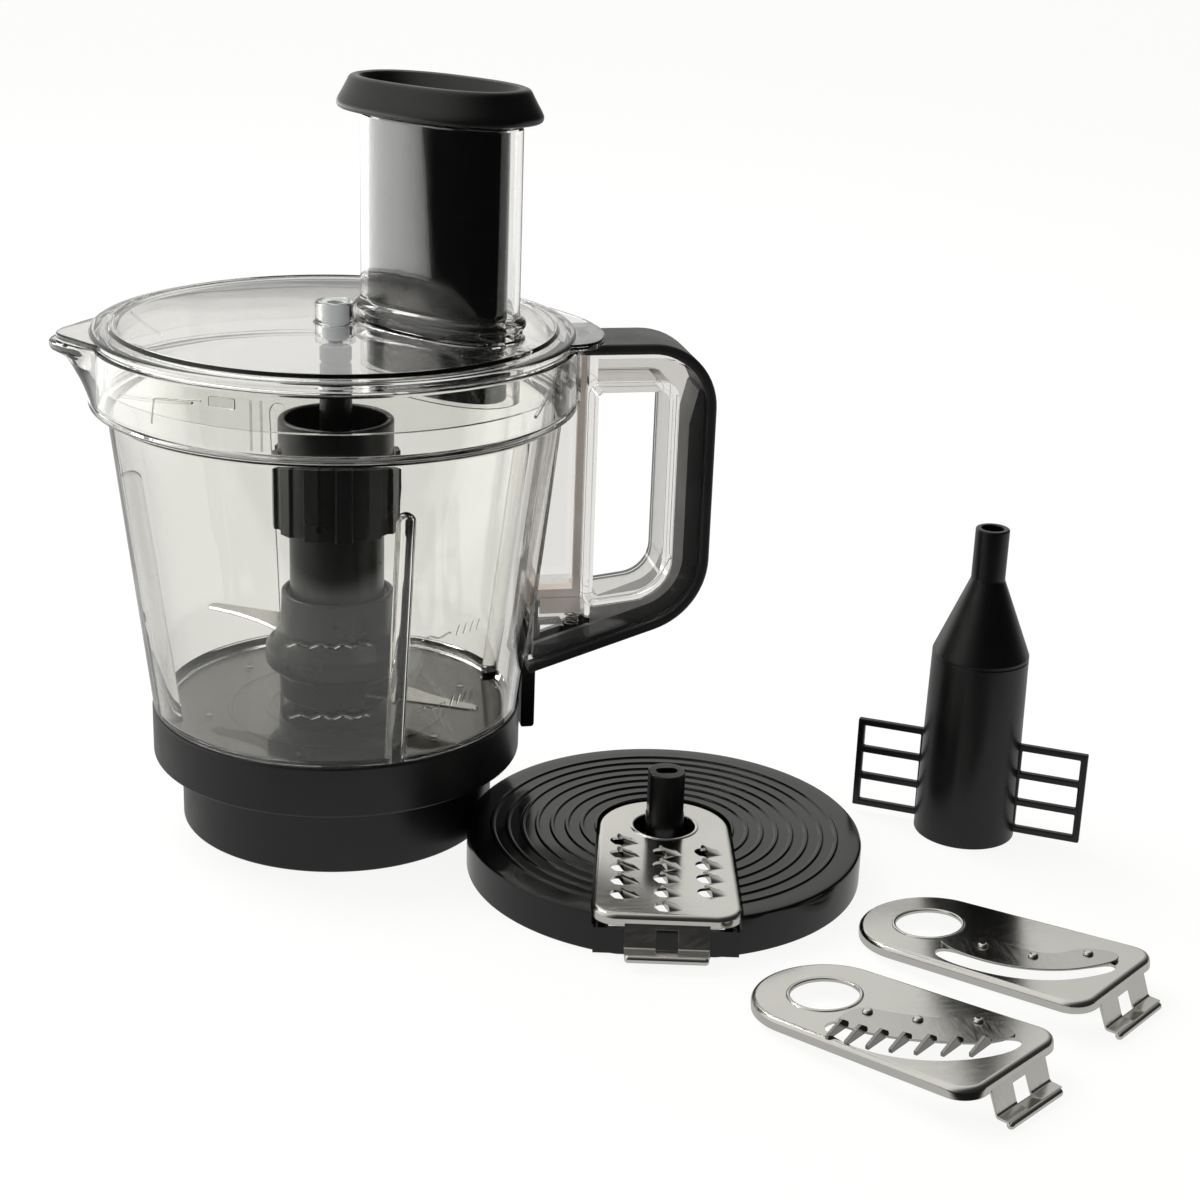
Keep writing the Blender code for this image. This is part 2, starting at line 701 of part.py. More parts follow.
def handle_web(axis):
    """The clear frame inside the grip, with the finger opening and the interlock rod's channel."""
    inset = GRIP_THICK + GAP
    top, right, corner, low = grip_path(inset)
    outline = rounded(
        [
            (COLLAR_R + 0.0010, top, 0),
            (right, top, TOP_CORNER - inset),
            (right, corner, LOW_CORNER - inset),
            (ARM_LOW_R + 0.0006, low + 0.0003, 0),
            (ARM_LOW_R + 0.0006, 0.0900, 0),
            (wall_radius(0.0900) + 0.0007, 0.0900, 0),
            (wall_radius(0.1860) + 0.0007, 0.1860, 0),
            (COLLAR_R + 0.0010, 0.1872, 0),
        ],
        steps=6,
    )
    (x_low, z_low), (x_high, z_high) = OPENING
    window = [(x_low, z_high, 0.003), (x_high, z_high, 0.004)]
    window += [(x_high, z_low + 0.004, 0.014), (x_low, z_low, 0.003)]
    half = WEB_WIDTH / 2
    made = add("handle_web", upright(flat([outline, rounded(window)], -half, half)), axis, CLEAR)
    rooms = (
        ("rod_channel", (ROD[0] - 0.0007, ROD[1] + 0.0007), (0.0950, 0.2100)),
        ("arm_room", (0.0800, ROD[1] + 0.0004), (0.0850, ARM_HIGH + 0.0052)),
        ("spring_room", (SPRING_AT - 0.0046, SPRING_AT + 0.0046), (0.0700, 0.0985)),
    )
    for name, (left, right), (low_end, high_end) in rooms:
        room = box_mesh([((left, -0.0050, low_end), (right, 0.0050, high_end))])
        cut(made, add(name, room, axis))


def interlock(axis):
    """The rod that the lid holds down, its arm, and the foot that reaches the motor base's switch."""
    left, right = ROD
    inner, outer, bar = 0.0858, 0.0876, 0.0815
    rod = [(left, 0.2090), (right, 0.2090), (right, ARM_LOW)]
    rod += [(inner, ARM_LOW), (inner, ARM_HIGH), (left, ARM_HIGH)]
    add("interlock_rod", upright(flat([rod], -0.0035, 0.0035)), axis, BEIGE)
    top = ARM_LOW - GAP
    foot = [(inner, top, 0), (outer, top, 0), (outer, 0.0350, 0.0015), (bar, 0.0350, 0.0010)]
    foot += [(bar, 0.0660, 0), (inner, 0.0690, 0)]
    add("interlock_foot", upright(flat([rounded(foot, steps=3)], -0.0045, 0.0045)), axis, BLACK)


def interlock_spring(axis):
    """The coil between the grip's low arm and the rod's arm."""
    low, high, radius, wire, turns, per_turn = 0.0822, 0.0955, 0.0030, 0.0004, 6, 8
    curve = bpy.data.curves.new("interlock_spring", "CURVE")
    curve.dimensions = "3D"
    curve.bevel_depth = wire
    curve.bevel_resolution = 1
    curve.use_fill_caps = True
    spline = curve.splines.new("POLY")
    count = turns * per_turn + 1
    spline.points.add(count - 1)
    for i, point in enumerate(spline.points):
        x, y = polar(radius, 360 * i / per_turn)
        point.co = (x, y, low + wire + (high - low - 2 * wire) * i / (count - 1), 1)
    curve.materials.append(STEEL)
    made = bpy.data.objects.new("interlock_spring", curve)
    PARTS.objects.link(made)
    made.parent = axis
    made.location = (SPRING_AT, 0, 0)


def insert_outline(inset=0.0):
    """The plate's outline: round about the hub hole, widening to the clip's end."""
    back = INSERT_BACK_R - inset
    half = INSERT_HALF_WIDTH - inset
    length = INSERT_LENGTH - inset
    corners = [(0, back, 0), (length, half, 0.010), (length, -half, 0.010), (0, -back, 0)]
    loop = rounded(corners, steps=5)
    for i in range(1, 18):
        loop.append(polar(back, 270 - 10 * i))
    return loop


def insert_plate(name, parent, windows):
    """A pressed plate with a turned-down skirt, a hub hole, a clip tab, and windows cut through."""
    made = add(name, flat([insert_outline()], -SKIRT_DEPTH, 0), parent, STEEL)
    pan = add(name + "_pan", flat([insert_outline(0.0011)], -SKIRT_DEPTH - 0.001, -INSERT_THICK), parent)
    cut(made, pan)
    hole = rods_mesh([((0, 0, -0.01), (0, 0, 0.01), HUB_HOLE_R)], 32)
    cut(made, add(name + "_hub_hole", hole, parent))
    join(made, add(name + "_tab", tab_mesh(), parent))
    near, far = INSERT_LENGTH - 0.002, INSERT_LENGTH + 0.010
    notch = box_mesh([((near, -0.0047, -0.0140), (far, 0.0047, -0.0060))])
    cut(made, add(name + "_tab_window", notch, parent))
    cut(made, add(name + "_windows", windows, parent))
    return made


def tab_mesh():
    """The clip's tab, leaning out as it goes down to a turned-out lip."""
    end = INSERT_LENGTH
    low, lip = -LIP_DEPTH, end + LIP_REACH
    side = [(end - 0.0010, -0.0042), (end, -0.0042), (lip + 0.0008, low + 0.0024)]
    side += [(lip + 0.0046, low + 0.0024), (lip + 0.0052, low + 0.0012), (lip + 0.0046, low)]
    side += [(lip, low), (lip - 0.0006, low + 0.0024)]
    return upright(flat([side], -0.0168, 0.0168))


def insert_frame(name, place, turn, parent):
    """A loose insert's frame: it stands on its round end's skirt and on its clip's lip."""
    drop = LIP_DEPTH - SKIRT_DEPTH
    tilt = math.atan2(drop, INSERT_LENGTH + LIP_REACH + INSERT_BACK_R)
    height = INSERT_BACK_R * math.sin(tilt) + SKIRT_DEPTH * math.cos(tilt)
    return empty(name, (*place, height), parent, turn, math.degrees(tilt))


def grater_places():
    """The teeth's middles, in three columns along the plate."""
    rows = ((-0.0195, 0.0165, 5), (-0.0020, 0.0265, 5), (0.0155, 0.0250, 4))
    return [(start + 0.0127 * i, y) for y, start, count in rows for i in range(count)]


def grater_insert(disc_frame):
    frame = empty("grater_frame", (0, 0, INSERT_TOP_ON_DISC), disc_frame, GRATER_TURN, GRATER_TILT)
    rods = [((x, y, -0.003), (x, y, 0.004), 0.0026) for x, y in grater_places()]
    made = insert_plate("grater_insert", frame, rods_mesh(rods, 8))
    flaps = bmesh.new()
    for x, y in grater_places():
        wedge = hull_mesh(
            [(x + 0.0006, y + 0.0018, -0.0004), (x - 0.0040, y + 0.0030, -0.0004)]
            + [(x + 0.0034, y + 0.0068, -0.0004), (x - 0.0040, y + 0.0068, -0.0004)]
            + [(x - 0.0010, y + 0.0030, 0.0012), (x - 0.0002, y + 0.0048, 0.0010)]
        )
        flaps.from_mesh(wedge)
    join(made, add("grater_flaps", finished(flaps, bpy.data.meshes.new("flaps")), frame))


def rivet(name, place, parent):
    x, y = place
    profile = [
        (0, 0.0027),
        (0.0012, 0.0026),
        (0.0021, 0.0020),
        (0.0023, 0.0016),
        (0.0010, 0.0016),
        (0.0010, -0.0015),
        (0.0018, -0.0015),
        (0.0016, -0.0022),
        (0, -0.0023),
    ]
    made = turned(name, profile, parent, STEEL, segments=8)
    made.location = (x, y, 0)


def slicing_insert(axis):
    frame = insert_frame("slicing_frame", SLICER_AT, SLICER_TURN, axis)
    rivets = ((0.0300, -0.0080), (0.0505, -0.0050), (0.0665, 0.0090))
    slot = [(0.0158, -0.0214), (0.0250, -0.0225), (0.0410, -0.0225), (0.0530, -0.0198), (0.0635, -0.0145)]
    slot += [(0.0725, -0.0060), (0.0782, 0.0040), (0.0765, 0.0085), (0.0725, 0.0050), (0.0660, -0.0040)]
    slot += [(0.0570, -0.0105), (0.0440, -0.0148), (0.0300, -0.0160), (0.0190, -0.0155)]
    windows = join_meshes([flat([slot], -0.003, 0.002), rivet_holes(rivets)])
    insert_plate("slicing_plate", frame, windows)
    edge = [(0.0150, -0.0150), (0.0300, -0.0180), (0.0430, -0.0178), (0.0560, -0.0140), (0.0665, -0.0070)]
    edge += [(0.0735, 0.0020), (0.0770, 0.0110), (0.0740, 0.0165), (0.0620, 0.0125), (0.0560, 0.0020)]
    edge += [(0.0440, -0.0010), (0.0300, 0.0000), (0.0210, -0.0050), (0.0150, -0.0110)]
    blade = add("slicing_blade", flat([edge], GAP, 0.0013), frame, STEEL)
    cut(blade, add("slicing_blade_holes", rivet_holes(rivets), frame))
    for i, place in enumerate(rivets):
        rivet(f"slicing_rivet_{i + 1}", place, frame)


def rivet_holes(places):
    return rods_mesh([((x, y, -0.003), (x, y, 0.003), 0.0013) for x, y in places], 12)


def join_meshes(meshes):
    """One mesh that holds every given mesh, as separate bodies."""
    shape = bmesh.new()
    for mesh in meshes:
        shape.from_mesh(mesh)
    return finished(shape, bpy.data.meshes.new("joined"))


def comb_line(share):
    """A point of the comb's bowed edge, from its hub end to its rim end."""
    return 0.0225 + 0.0475 * share, -0.0180 + 0.0215 * max(share, 0) ** 1.8


def comb_teeth():
    """Seven upright teeth along the comb's edge."""
    boxes = []
    for i in range(7):
        x, y = comb_line(i / 6)
        boxes.append(((x - 0.0006, y - 0.0020, 0.0006), (x + 0.0006, y + 0.0022, 0.0062)))
    return boxes


def julienne_insert(axis):
    frame = insert_frame("julienne_frame", JULIENNE_AT, JULIENNE_TURN, axis)
    rivets = ((0.0230, -0.0040), (0.0410, 0.0025), (0.0585, 0.0155))
    slot = [(0.0165, -0.0215), (0.0300, -0.0232), (0.0450, -0.0215), (0.0590, -0.0150), (0.0705, -0.0035)]
    slot += [(0.0765, 0.0090), (0.0765, 0.0160), (0.0690, 0.0110), (0.0600, 0.0020), (0.0480, -0.0065)]
    slot += [(0.0350, -0.0105), (0.0230, -0.0120), (0.0165, -0.0150)]
    windows = join_meshes([flat([slot], -0.003, 0.002), rivet_holes(rivets)])
    insert_plate("julienne_plate", frame, windows)
    strip = [comb_line(share / 10) for share in range(-1, 11)]
    strip += [(0.0740, 0.0110), (0.0745, 0.0170), (0.0640, 0.0200), (0.0540, 0.0150), (0.0420, 0.0065)]
    strip += [(0.0300, 0.0015), (0.0190, -0.0010), (0.0165, -0.0080)]
    comb = add("julienne_comb", flat([strip], GAP, 0.0013), frame, STEEL)
    join(comb, add("comb_teeth", box_mesh(comb_teeth()), frame))
    cut(comb, add("comb_holes", rivet_holes(rivets), frame))
    for i, place in enumerate(rivets):
        rivet(f"julienne_rivet_{i + 1}", place, frame)


def disc(disc_frame):
    """The carrier disc: a rimmed plate with a deep bed for an insert and a window under it."""
    skin, rim, hub = 0.0030, 0.0026, 0.0125
    profile = [
        (0, DISC_TOP),
        (DISC_R - 0.0010, DISC_TOP),
        (DISC_R, DISC_TOP - 0.0010),
        (DISC_R, 0),
        (DISC_R - rim, 0),
        (DISC_R - rim, DISC_TOP - skin),
        (hub, DISC_TOP - skin),
        (hub, 0),
        (0, 0),
    ]
    made = turned("disc", profile, disc_frame, GLOSS, segments=48)
    bed_floor = DISC_TOP - 0.0058
    turn = math.radians(GRATER_TURN)
    block_mesh = flat([insert_outline(-0.0030)], bed_floor - 0.0026, DISC_TOP - 0.0010)
    block = add("insert_block", block_mesh, disc_frame)
    trim = add("block_trim", rods_mesh([((0, 0, -0.01), (0, 0, 0.04), DISC_R - 0.0005)], 64), disc_frame)
    boolean(block, trim, "INTERSECT")
    bed = add("insert_bed", flat([insert_outline(-0.0006)], bed_floor, DISC_TOP + 0.004), disc_frame)
    window = add("bed_window", box_mesh([((0.0150, -0.0230, 0), (0.0800, 0.0230, DISC_TOP))]), disc_frame)
    face = add("clip_face", box_mesh([((0.0842, -0.0290, -0.001), (0.1000, 0.0290, 0.030))]), disc_frame)
    for piece in (block, bed, window, face):
        piece.rotation_euler = (0, 0, turn)
    join(made, block)
    for cutter in (bed, window, face):
        cut(made, cutter)
    disc_stem(disc_frame, bed_floor)


def disc_stem(disc_frame, foot):
    """The socket that stands up through the insert's hub hole, with two flats and a slot."""
    profile = [(0, STEM_TOP), (STEM_R - 0.0006, STEM_TOP), (STEM_R, STEM_TOP - 0.0006)]
    profile += [(STEM_R, foot + GAP), (0, foot + GAP)]
    made = turned("disc_stem", profile, disc_frame, GLOSS, segments=FEW_SEGMENTS)
    flat_at, flat_low = 0.0074, 0.0240
    sides = [(flat_at, 0.0120), (-0.0120, -flat_at)]
    flats = box_mesh([((left, -0.0100, flat_low), (right, 0.0100, 0.0500)) for left, right in sides])
    cut(made, add("stem_flats", flats, disc_frame))
    corners = [(-1, -1), (1, -1), (1, 1), (-1, 1)]
    slot = rounded([(0.0046 * x, 0.0027 * y, 0.0025) for x, y in corners], steps=3)
    cut(made, add("stem_slot", flat([slot], 0.0160, 0.0450), disc_frame))


def paddle(axis):
    """A bottle-shaped hub, hollow from below, with a ladder wing on each side."""
    frame = empty("paddle_frame", (*PADDLE_AT, 0), axis, WING_TURN)
    skin = 0.0020
    profile = [
        (NECK_R - 0.0026, NECK_TOP),
        (NECK_R - 0.0008, NECK_TOP),
        (NECK_R - 0.0002, NECK_TOP - 0.0008),
        (NECK_R, NECK_LOW),
        (PADDLE_SHOULDER_R - 0.0004, PADDLE_SHOULDER_Z + 0.0004),
        (PADDLE_SHOULDER_R, PADDLE_SHOULDER_Z - 0.0006),
        (PADDLE_FOOT_R, 0),
        (PADDLE_FOOT_R - skin, 0),
        (PADDLE_SHOULDER_R - skin, PADDLE_SHOULDER_Z - 0.0020),
        (NECK_R - 0.0026, NECK_LOW - 0.0030),
    ]
    made = turned("paddle", profile, frame, BLACK, segments=32)
    wing = ladder_wing()
    for turn in (0, 180):
        other = add("wing_form", wing, frame)
        other.rotation_euler = (0, 0, math.radians(turn))
        join(made, other)


def ladder_wing():
    inner = PADDLE_SHOULDER_R - 0.0010
    loops = [[(inner, WING_LOW), (WING_REACH, WING_LOW), (WING_REACH, WING_HIGH), (inner, WING_HIGH)]]
    pitch = (WING_HIGH - WING_LOW - WING_BAR) / 3
    for i in range(3):
        low = WING_LOW + WING_BAR + pitch * i
        high = low + pitch - WING_BAR
        left, right = PADDLE_FOOT_R + 0.0006, WING_REACH - WING_BAR
        loops.append([(left, low), (right, low), (right, high), (left, high)])
    return upright(flat(loops, -WING_BAR / 2, WING_BAR / 2))


def main():
    axis = empty("bowl_axis", (*BOWL_AXIS, 0))
    handle_frame = empty("handle_frame", (0, 0, 0), axis, HANDLE_TURN)
    base_collar(axis)
    base_screws(axis)
    bowl(axis, handle_frame)
    floor_gasket(axis)
    drive_parts(axis)
    spindle(axis)
    knife_column(axis)
    knife_blades(axis)
    lid(axis)
    lid_bush(axis)
    pusher(axis)
    handle_grip(handle_frame)
    handle_web(handle_frame)
    interlock(handle_frame)
    interlock_spring(handle_frame)
    disc_frame = empty("disc_frame", (*DISC_AT, 0), axis)
    disc(disc_frame)
    grater_insert(disc_frame)
    slicing_insert(axis)
    julienne_insert(axis)
    paddle(axis)


main()
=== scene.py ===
"""The looks of a food processor bowl with its lid, knife and loose tools. Metres, +Z up.

Each piece is built in a local frame, then put in place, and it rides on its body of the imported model.
The frames stand on the axis of the bowl, the disc or the paddle. The handle's is the bowl's, turned so
that the handle reaches along +X. The pusher's is the chute's. An insert's has its origin at the hub hole
and +X towards the clip.
"""

import math

import bmesh
import bpy
from mathutils import Matrix, Vector

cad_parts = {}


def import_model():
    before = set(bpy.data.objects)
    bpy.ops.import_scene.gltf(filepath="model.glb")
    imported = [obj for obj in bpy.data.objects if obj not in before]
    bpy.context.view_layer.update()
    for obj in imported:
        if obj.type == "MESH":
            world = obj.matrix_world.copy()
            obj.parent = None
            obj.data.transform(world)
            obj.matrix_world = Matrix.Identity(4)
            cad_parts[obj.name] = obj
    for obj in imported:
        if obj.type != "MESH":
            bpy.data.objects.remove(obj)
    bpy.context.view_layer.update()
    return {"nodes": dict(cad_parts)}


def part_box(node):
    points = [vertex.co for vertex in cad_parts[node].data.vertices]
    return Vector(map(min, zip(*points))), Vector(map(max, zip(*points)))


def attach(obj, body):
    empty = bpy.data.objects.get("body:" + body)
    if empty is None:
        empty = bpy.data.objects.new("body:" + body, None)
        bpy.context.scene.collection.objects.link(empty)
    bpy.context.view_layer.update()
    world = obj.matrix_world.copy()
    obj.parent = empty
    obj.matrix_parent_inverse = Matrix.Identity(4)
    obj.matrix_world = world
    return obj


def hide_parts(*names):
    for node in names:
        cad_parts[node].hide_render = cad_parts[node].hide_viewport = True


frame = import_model()

SEGMENTS = 144
FEW_SEGMENTS = 72
NOISE_SPAN = (0.3, 0.7)
WALL = 0.0024

# Base
SKIRT_R, STEP_Z = 0.0679, 0.031
BAND_R, BAND_TOP = 0.08, 0.0532
WEB_LOW, WEB_TOP = 0.0444, 0.047
BOSS_R, BOSS_LOW, BUSH_R = 0.013, 0.03, 0.0079
SCREW_RING_R, SCREW_HOLE_R, SCREW_TURN, SCREWS = 0.057, 0.0019, -105, 6

# Bowl
FLOOR_LOW, FLOOR_TOP = 0.049, 0.0514
WALL_FOOT_Z, WALL_FOOT_R = 0.0536, 0.0795
WALL_HEAD_Z, WALL_HEAD_R = 0.185, 0.0945
COLLAR_R, COLLAR_LOW, COLLAR_TOP = 0.1012, 0.188, 0.215
POST_R, POST_BORE, POST_TOP = 0.0114, 0.0088, 0.096
SPOUT_R, SPOUT_HALF = 0.116, 0.026
RIB_R, RIB_TURN, RIB_TOP = 0.004, -72, 0.164
LEVELS = (0.109, 0.077)

# Lid, chute and pusher
LID_RIM_R, LID_RING_R, LID_LOW, LID_HIGH = 0.1003, 0.0915, 0.2182, 0.2205
CHUTE_AT, CHUTE_TURN = (0.0424, -0.009), -45
CHUTE_A, CHUTE_B = 0.039, 0.019
CHUTE_LOW, CHUTE_TOP = 0.1945, 0.3055
PUSHER_PLAY, PUSHER_SHIFT = 0.002, -0.001
FLANGE_LOW, FLANGE_TOP = 0.3072, 0.3205
OVAL_POWER = 2.4

# Handle, and the spout opposite it
HANDLE_TURN = 5.5
GRIP_TOP, GRIP_R, GRIP_WIDTH, GRIP_FACE = 0.2126, 0.1616, 0.034, 0.0046
ARM_SLOPE, ARM_LOW_R, ARM_LOW_Z = 0.33, 0.088, 0.067
TOP_CORNER, LOW_CORNER = 0.029, 0.034
WEB_WIDTH, WEB_SKIN = 0.026, 0.0022
OPENING = ((0.1103, 0.099), (0.141, 0.191))
ROD = (0.1026, 0.1062)

# Spindle and knife
SPINDLE_R, SPINDLE_TOP, PIN_R = 0.00685, 0.207, 0.003
CUP_R, CUP_TOP = 0.0245, 0.18
FLUTE_R, FLUTE_LOW, FLUTE_TOP, FLUTES = 0.0272, 0.132, 0.165, 12
COLUMN_R = 0.0203
HUB_R, HUB_TOP, HUB_FLANGE_R = 0.024, 0.103, 0.031
BLADE_REACH, BLADE_THICK = 0.069, 0.0012
BLADES = (("upper", 0.0815, 152), ("lower", 0.0615, -27))

# Disc and inserts
DISC_R, DISC_TOP = 0.0838, 0.0172
RIDGE_FIRST, RIDGE_PITCH, RIDGES, RIDGE_HIGH = 0.0225, 0.0063, 9, 0.0007
STEM_R, STEM_TOP = 0.0082, 0.0435
INSERT_BACK_R, INSERT_HALF_WIDTH, INSERT_LENGTH = 0.028, 0.0298, 0.086
INSERT_THICK, SKIRT_DEPTH, HUB_HOLE_R = 0.0012, 0.005, 0.0133
INSERT_TOP_ON_DISC, BED_DEPTH = 0.0178, 0.0058
LIP_DEPTH, LIP_REACH, TAB_HALF = 0.017, 0.0034, 0.0168
GRATER_TURN, GRATER_TILT = -97, 1.5
SLICER_AT, SLICER_TURN = (0.2355, -0.138), -47
JULIENNE_AT, JULIENNE_TURN = (0.1818, -0.1913), -50

# Paddle
PADDLE_FOOT_R, PADDLE_SHOULDER_R, PADDLE_SHOULDER_Z = 0.0221, 0.0209, 0.0852
NECK_R, NECK_LOW, NECK_TOP = 0.0073, 0.1188, 0.1415
WING_REACH, WING_LOW, WING_HIGH, WING_BAR, WING_TURN = 0.051, 0.003, 0.045, 0.003, -26

# Stage, and the camera from the bowl's axis on the floor
FLOOR_HALF = 12
EYE = (0.0, -0.9146, 0.4297)
YAW, PITCH, ROLL, LENS = 7.16, 19.86, 2.14, 66.84


# ---------------------------------------------------------------- places


def centre(node):
    low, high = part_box(node)
    return (low + high) / 2


def frame_at(x, y, z=0.0, turn=0.0, tilt=0.0):
    """A frame at a point, turned about Z, then tilted so that its +X rises."""
    place = Matrix.Translation((x, y, z)) @ Matrix.Rotation(math.radians(turn), 4, "Z")
    return place @ Matrix.Rotation(-math.radians(tilt), 4, "Y")


def loose_insert_frame(at, turn):
    """A loose insert stands on its round end's skirt and on its clip's lip."""
    tilt = math.atan2(LIP_DEPTH - SKIRT_DEPTH, INSERT_LENGTH + LIP_REACH + INSERT_BACK_R)
    height = INSERT_BACK_R * math.sin(tilt) + SKIRT_DEPTH * math.cos(tilt)
    return AXIS @ frame_at(*at, height, turn, math.degrees(tilt))


AXIS = frame_at(centre("base_collar").x, centre("base_collar").y)
HANDLE = AXIS @ frame_at(0, 0, 0, HANDLE_TURN)
PUSHER = AXIS @ frame_at(CHUTE_AT[0] + PUSHER_SHIFT, CHUTE_AT[1], 0, CHUTE_TURN)
DISC = frame_at(centre("disc").x, centre("disc").y)
GRATER = DISC @ frame_at(0, 0, INSERT_TOP_ON_DISC, GRATER_TURN, GRATER_TILT)
SLICER = loose_insert_frame(SLICER_AT, SLICER_TURN)
JULIENNE = loose_insert_frame(JULIENNE_AT, JULIENNE_TURN)
PADDLE = frame_at(centre("paddle").x, centre("paddle").y, 0, WING_TURN)


# ---------------------------------------------------------------- materials


def spread(tree, source, start, end, low, high, curve="LINEAR"):
    """A number that goes from low to high as another goes from start to end."""
    node = tree.nodes.new("ShaderNodeMapRange")
    node.interpolation_type = curve
    for key, value in {"From Min": start, "From Max": end, "To Min": low, "To Max": high}.items():
        node.inputs[key].default_value = value
    tree.links.new(source, node.inputs["Value"])
    return node.outputs["Result"]


def ramp(tree, source, stops):
    """Colours at places from 0 to 1, blended between."""
    node = tree.nodes.new("ShaderNodeValToRGB")
    elements = node.color_ramp.elements
    elements[0].position, elements[1].position = stops[0][0], stops[-1][0]
    for position, _ in stops[1:-1]:
        elements.new(position)
    for element, (_, color) in zip(elements, stops):
        element.color = (*color, 1)
    tree.links.new(source, node.inputs["Fac"])
    return node.outputs["Color"]


class Shader:
    """A Principled material whose roughness and bump come from noise in the object's own space."""

    def __init__(self, name, color, roughness, **values):
        self.material = bpy.data.materials.new(name)
        self.material.use_nodes = True
        self.nodes = self.material.node_tree.nodes
        self.links = self.material.node_tree.links
        self.surface = self.nodes["Principled BSDF"]
        self.surface.inputs["Base Color"].default_value = (*color, 1)
        self.surface.inputs["Roughness"].default_value = roughness
        for key, value in values.items():
            self.surface.inputs[key.replace("_", " ")].default_value = value
        self.material.diffuse_color = (*color, 1)
        self.space = self.nodes.new("ShaderNodeTexCoord").outputs["Object"]
        self.height = None

    def noise(self, scale, stretch=(1, 1, 1), detail=3.0):
        mapping = self.nodes.new("ShaderNodeMapping")
        mapping.inputs["Scale"].default_value = stretch
        texture = self.nodes.new("ShaderNodeTexNoise")
        texture.inputs["Scale"].default_value = scale
        texture.inputs["Detail"].default_value = detail
        self.links.new(self.space, mapping.inputs["Vector"])
        self.links.new(mapping.outputs["Vector"], texture.inputs["Vector"])
        return texture.outputs["Fac"]

    def sheen(self, source, low, high):
        """Varies the roughness with a noise."""
        self.links.new(spread(self, source, *NOISE_SPAN, low, high), self.surface.inputs["Roughness"])

    def tint(self, source, dark, light, span=NOISE_SPAN):
        """Varies the base colour between two colours."""
        color = ramp(self, source, [(span[0], dark), (span[1], light)])
        self.links.new(color, self.surface.inputs["Base Color"])

    def bump(self, source, distance):
        """Adds a relief over the earlier one, and gives the material back."""
        relief = self.nodes.new("ShaderNodeBump")
        relief.inputs["Distance"].default_value = distance
        relief.inputs["Strength"].default_value = 1.0
        self.links.new(source, relief.inputs["Height"])
        if self.height is not None:
            self.links.new(self.height, relief.inputs["Normal"])
        self.height = relief.outputs["Normal"]
        self.links.new(self.height, self.surface.inputs["Normal"])
        return self.material


def clear_plastic(name, tint, edge):
    """Moulded clear polycarbonate: a faint tint, and a slight ripple. The tint deepens at grazing angles,
    partly for the longer path through the wall and partly as painted shade along the edges.
    """
    shader = Shader(name, tint, 0.02, Transmission_Weight=1.0, IOR=1.5)
    facing = shader.nodes.new("ShaderNodeLayerWeight")
    facing.inputs["Blend"].default_value = 0.28
    # Painted edge shade: the base colour darkens towards the edge colour at grazing angles.
    shader.tint(facing.outputs["Facing"], tint, edge, (0.25, 1.0))
    shader.sheen(shader.noise(60), 0.004, 0.014)
    return shader.bump(shader.noise(26, detail=1.0), 0.00012)


def black_plastic(name, color, low, high, grain, depth):
    """Moulded black plastic with an uneven sheen and a fine grain."""
    shader = Shader(name, color, low, Specular_IOR_Level=0.5)
    shader.tint(shader.noise(35), [c * 0.82 for c in color], [c * 1.25 for c in color])
    shader.sheen(shader.noise(55, detail=5.0), low, high)
    return shader.bump(shader.noise(grain, detail=2.0), depth)


def steel(name, color, low, high, stretch=(1, 14, 1)):
    """Rolled and polished stainless steel, with its grain along the plate."""
    shader = Shader(name, color, low, Metallic=1.0, Specular_IOR_Level=0.5)
    shader.tint(shader.noise(30), [c * 0.93 for c in color], color)
    shader.sheen(shader.noise(120, stretch, detail=6.0), low, high)
    shader.bump(shader.noise(700, stretch, detail=2.0), 0.000006)
    return shader.bump(shader.noise(18, detail=1.0), 0.0001)


CLEAR = clear_plastic("clear_bowl", (0.885, 0.88, 0.852), (0.42, 0.39, 0.44))
# The lid's copy of the clear plastic is tinted lighter than the bowl's, as painted light.
LIT_CLEAR_LID = clear_plastic("lit_clear_lid", (0.96, 0.958, 0.945), (0.46, 0.43, 0.48))
CLEAR_WEB = clear_plastic("clear_web", (0.815, 0.803, 0.785), (0.42, 0.4, 0.42))
SATIN = black_plastic("satin_black", (0.003, 0.0031, 0.0032), 0.26, 0.36, 1300, 0.000001)
BASE = black_plastic("base_black", (0.005, 0.0052, 0.0052), 0.3, 0.4, 2200, 0.000005)
GRIP = black_plastic("grip_black", (0.012, 0.0122, 0.012), 0.36, 0.46, 3200, 0.000006)
GLOSS = black_plastic("gloss_black", (0.002, 0.0021, 0.0021), 0.08, 0.14, 400, 0.000002)
FLANGE = black_plastic("flange_black", (0.003, 0.003, 0.0029), 0.3, 0.4, 3000, 0.000004)
GRIP_CORE = black_plastic("grip_core_grey", (0.056, 0.057, 0.058), 0.35, 0.45, 2000, 0.000004)
DISC_BLACK = black_plastic("disc_black", (0.0024, 0.0025, 0.0024), 0.1, 0.18, 900, 0.000003)
STEEL = steel("plate_steel", (0.72, 0.705, 0.67), 0.11, 0.2)
EDGE_STEEL = steel("blade_steel", (0.6, 0.59, 0.565), 0.12, 0.24, (9, 1, 1))
# The teeth's steel is a darker copy of the comb's, as painted shade on their faces.
SHADED_TOOTH_STEEL = steel("shaded_tooth_steel", (0.3, 0.295, 0.285), 0.1, 0.22, (1, 1, 1))
SPRING_STEEL = steel("spring_steel", (0.55, 0.54, 0.52), 0.2, 0.3, (1, 1, 1))


def bronze():
    shader = Shader("bush_bronze", (0.42, 0.27, 0.12), 0.4, Metallic=1.0)
    shader.tint(shader.noise(900), (0.3, 0.19, 0.09), (0.46, 0.31, 0.15))
    shader.sheen(shader.noise(1500), 0.35, 0.6)
    return shader.bump(shader.noise(2600), 0.00004)


def rubber():
    shader = Shader("seal_rubber", (0.02, 0.02, 0.02), 0.7)
    shader.sheen(shader.noise(300), 0.6, 0.85)
    return shader.bump(shader.noise(1800), 0.00003)


